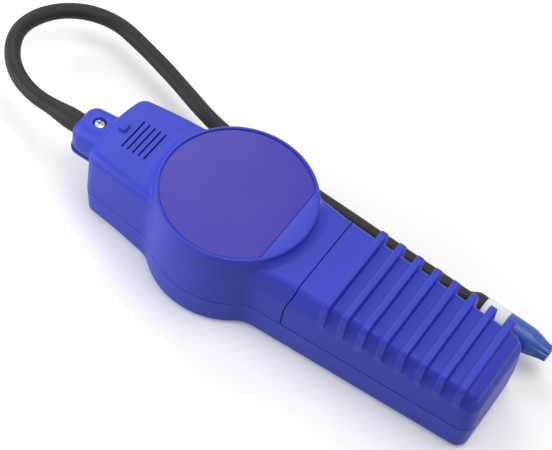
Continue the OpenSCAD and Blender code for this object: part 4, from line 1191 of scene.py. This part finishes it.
# Inner pieces keep the CAD solids' shapes
nodeMaterials = {
    "gooseneck": stripSteel, "main_board": boardMask, "buzzer": blackNylon, "key_switches": paleNylon,
    "step_up_transformer": windingTape, "controller_chip": blackNylon, "capacitors": capacitorSleeve,
    "board_screws": zincSteel, "battery_tray": blackNylon, "front_contacts": zincSteel,
    "rear_contact": zincSteel,
}
for node, material in nodeMaterials.items():
    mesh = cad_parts[node].data
    mesh.materials.clear()
    mesh.materials.append(material)
print("inside pieces dressed")

# Floor, light and camera, in metres

white = (1.0, 1.0, 1.0, 1.0)
studio = {
    "floorHalf": 3.0, "floorZ": -0.0002, "mottlesPerMetre": 6.0, "floorTone": (0.9, 0.92), "floorBounce": 0.5,
    "floorLift": 0.13, "roomColour": (1.0, 0.99, 0.98, 1.0), "roomGlow": (0.04, 0.55),
    "lights": {  # place, target, size and power
        "key": ((-1.1, 1.2, 1.6), (0.02, 0.0, 0.0), 1.2, 13.5),
        "overhead": ((0.22, 0.1, 0.9), (0.06, 0.0, 0.0), 0.6, 3.9),
        "fill": ((-0.3, -0.22, 0.12), (-0.05, -0.01, 0.02), 0.3, 1.1),
    },
}


# Rays that see the background as white: from the camera, off gloss and through clear plastic
def whiteRays(tree):
    path = addNode(tree, "LightPath")
    seen = path.outputs["Is Camera Ray"]
    for kind in ("Is Glossy Ray", "Is Transmission Ray"):
        both = addNode(tree, "Math", {"operation": "MAXIMUM"})
        tree.links.new(seen, both.inputs[0])
        tree.links.new(path.outputs[kind], both.inputs[1])
        seen = both.outputs[0]
    return seen


# Matt white sweep: shows pale with the object's shadow on it, and bounces little light back up
def floorMaterial():
    material, tree, shader = newMaterial("matt_white_sweep")
    place = addNode(tree, "TexCoord").outputs["Object"]
    mottle = addNode(tree, "TexNoise", {"Scale": studio["mottlesPerMetre"], "Detail": 2.0}, {"Vector": place})
    low, high = studio["floorTone"]
    tone = addNode(tree, "MapRange", {"To Min": low, "To Max": high}, {"Value": mottle.outputs["Fac"]})
    seen = whiteRays(tree)
    grey = addNode(tree, "MapRange", {"To Min": studio["floorBounce"]},
                   {"Value": seen, "To Max": tone.outputs["Result"]})
    tree.links.new(grey.outputs["Result"], shader.inputs["Base Color"])
    lift = addNode(tree, "MapRange", {"To Max": studio["floorLift"]}, {"Value": seen})
    tree.links.new(lift.outputs["Result"], shader.inputs["Emission Strength"])
    setInputs(shader, {"Roughness": 1.0, "Specular IOR Level": 0.0, "Emission Color": white})
    return material


def layFloor():
    half = studio["floorHalf"]
    mesh = bpy.data.meshes.new("floor")
    corners = [(x * half, y * half, studio["floorZ"]) for x, y in ((-1, -1), (1, -1), (1, 1), (-1, 1))]
    mesh.from_pydata(corners, [], [(0, 1, 2, 3)])
    mesh.materials.append(floorMaterial())
    linked("floor", mesh)


def areaLight(name, place, target, size, power):
    light = bpy.data.lights.new(name, "AREA")
    light.size = size
    light.energy = power
    lamp = linked(name, light)
    lamp.location = place
    lamp.rotation_mode = "QUATERNION"
    lamp.rotation_quaternion = (Vector(target) - Vector(place)).to_track_quat("-Z", "Y")


# Room light that grows with height, and plain white where the background shows
def whiteWorld():
    world = bpy.data.worlds.new("studio")
    bpy.context.scene.world = world
    world.use_nodes = True
    tree = world.node_tree
    tree.nodes.clear()
    way = addNode(tree, "TexCoord").outputs["Generated"]
    height = addNode(tree, "SeparateXYZ", links={"Vector": way}).outputs["Z"]
    low, high = studio["roomGlow"]
    glow = addNode(tree, "MapRange", {"To Min": low, "To Max": high}, {"Value": height})
    room = addNode(tree, "Background", {"Color": studio["roomColour"]}, {"Strength": glow.outputs["Result"]})
    plain = addNode(tree, "Background", {"Color": white, "Strength": 1.0})
    mix = addNode(tree, "MixShader", links={"Fac": whiteRays(tree)})
    tree.links.new(room.outputs[0], mix.inputs[1])
    tree.links.new(plain.outputs[0], mix.inputs[2])
    out = addNode(tree, "OutputWorld")
    tree.links.new(mix.outputs[0], out.inputs["Surface"])


layFloor()
for name, setting in studio["lights"].items():
    areaLight(name, *setting)
whiteWorld()

# Camera as fitted to the photograph: place of the eye in millimetres, its axes and the lens
view = {
    "eye": (171.71, -349.88, 574.27), "right": (0.8263, 0.5502, 0.1201), "up": (-0.5125, 0.6462, 0.5654),
    "back": (0.2335, -0.5288, 0.8160), "lens": 121.43, "sensor": 36.0, "clip": (0.01, 20),
}
cameraData = bpy.data.cameras.new("camera")
cameraData.lens = view["lens"]
cameraData.sensor_width = view["sensor"]
cameraData.sensor_fit = "HORIZONTAL"
cameraData.clip_start, cameraData.clip_end = view["clip"]
camera = linked("camera", cameraData)
axes = np.eye(4)
axes[:3, 0], axes[:3, 1], axes[:3, 2] = view["right"], view["up"], view["back"]
axes[:3, 3] = np.array(view["eye"]) * mm
camera.matrix_world = Matrix(axes.tolist())
bpy.context.scene.camera = camera
bpy.context.scene.view_settings.view_transform = "Standard"
print("camera and light placed")
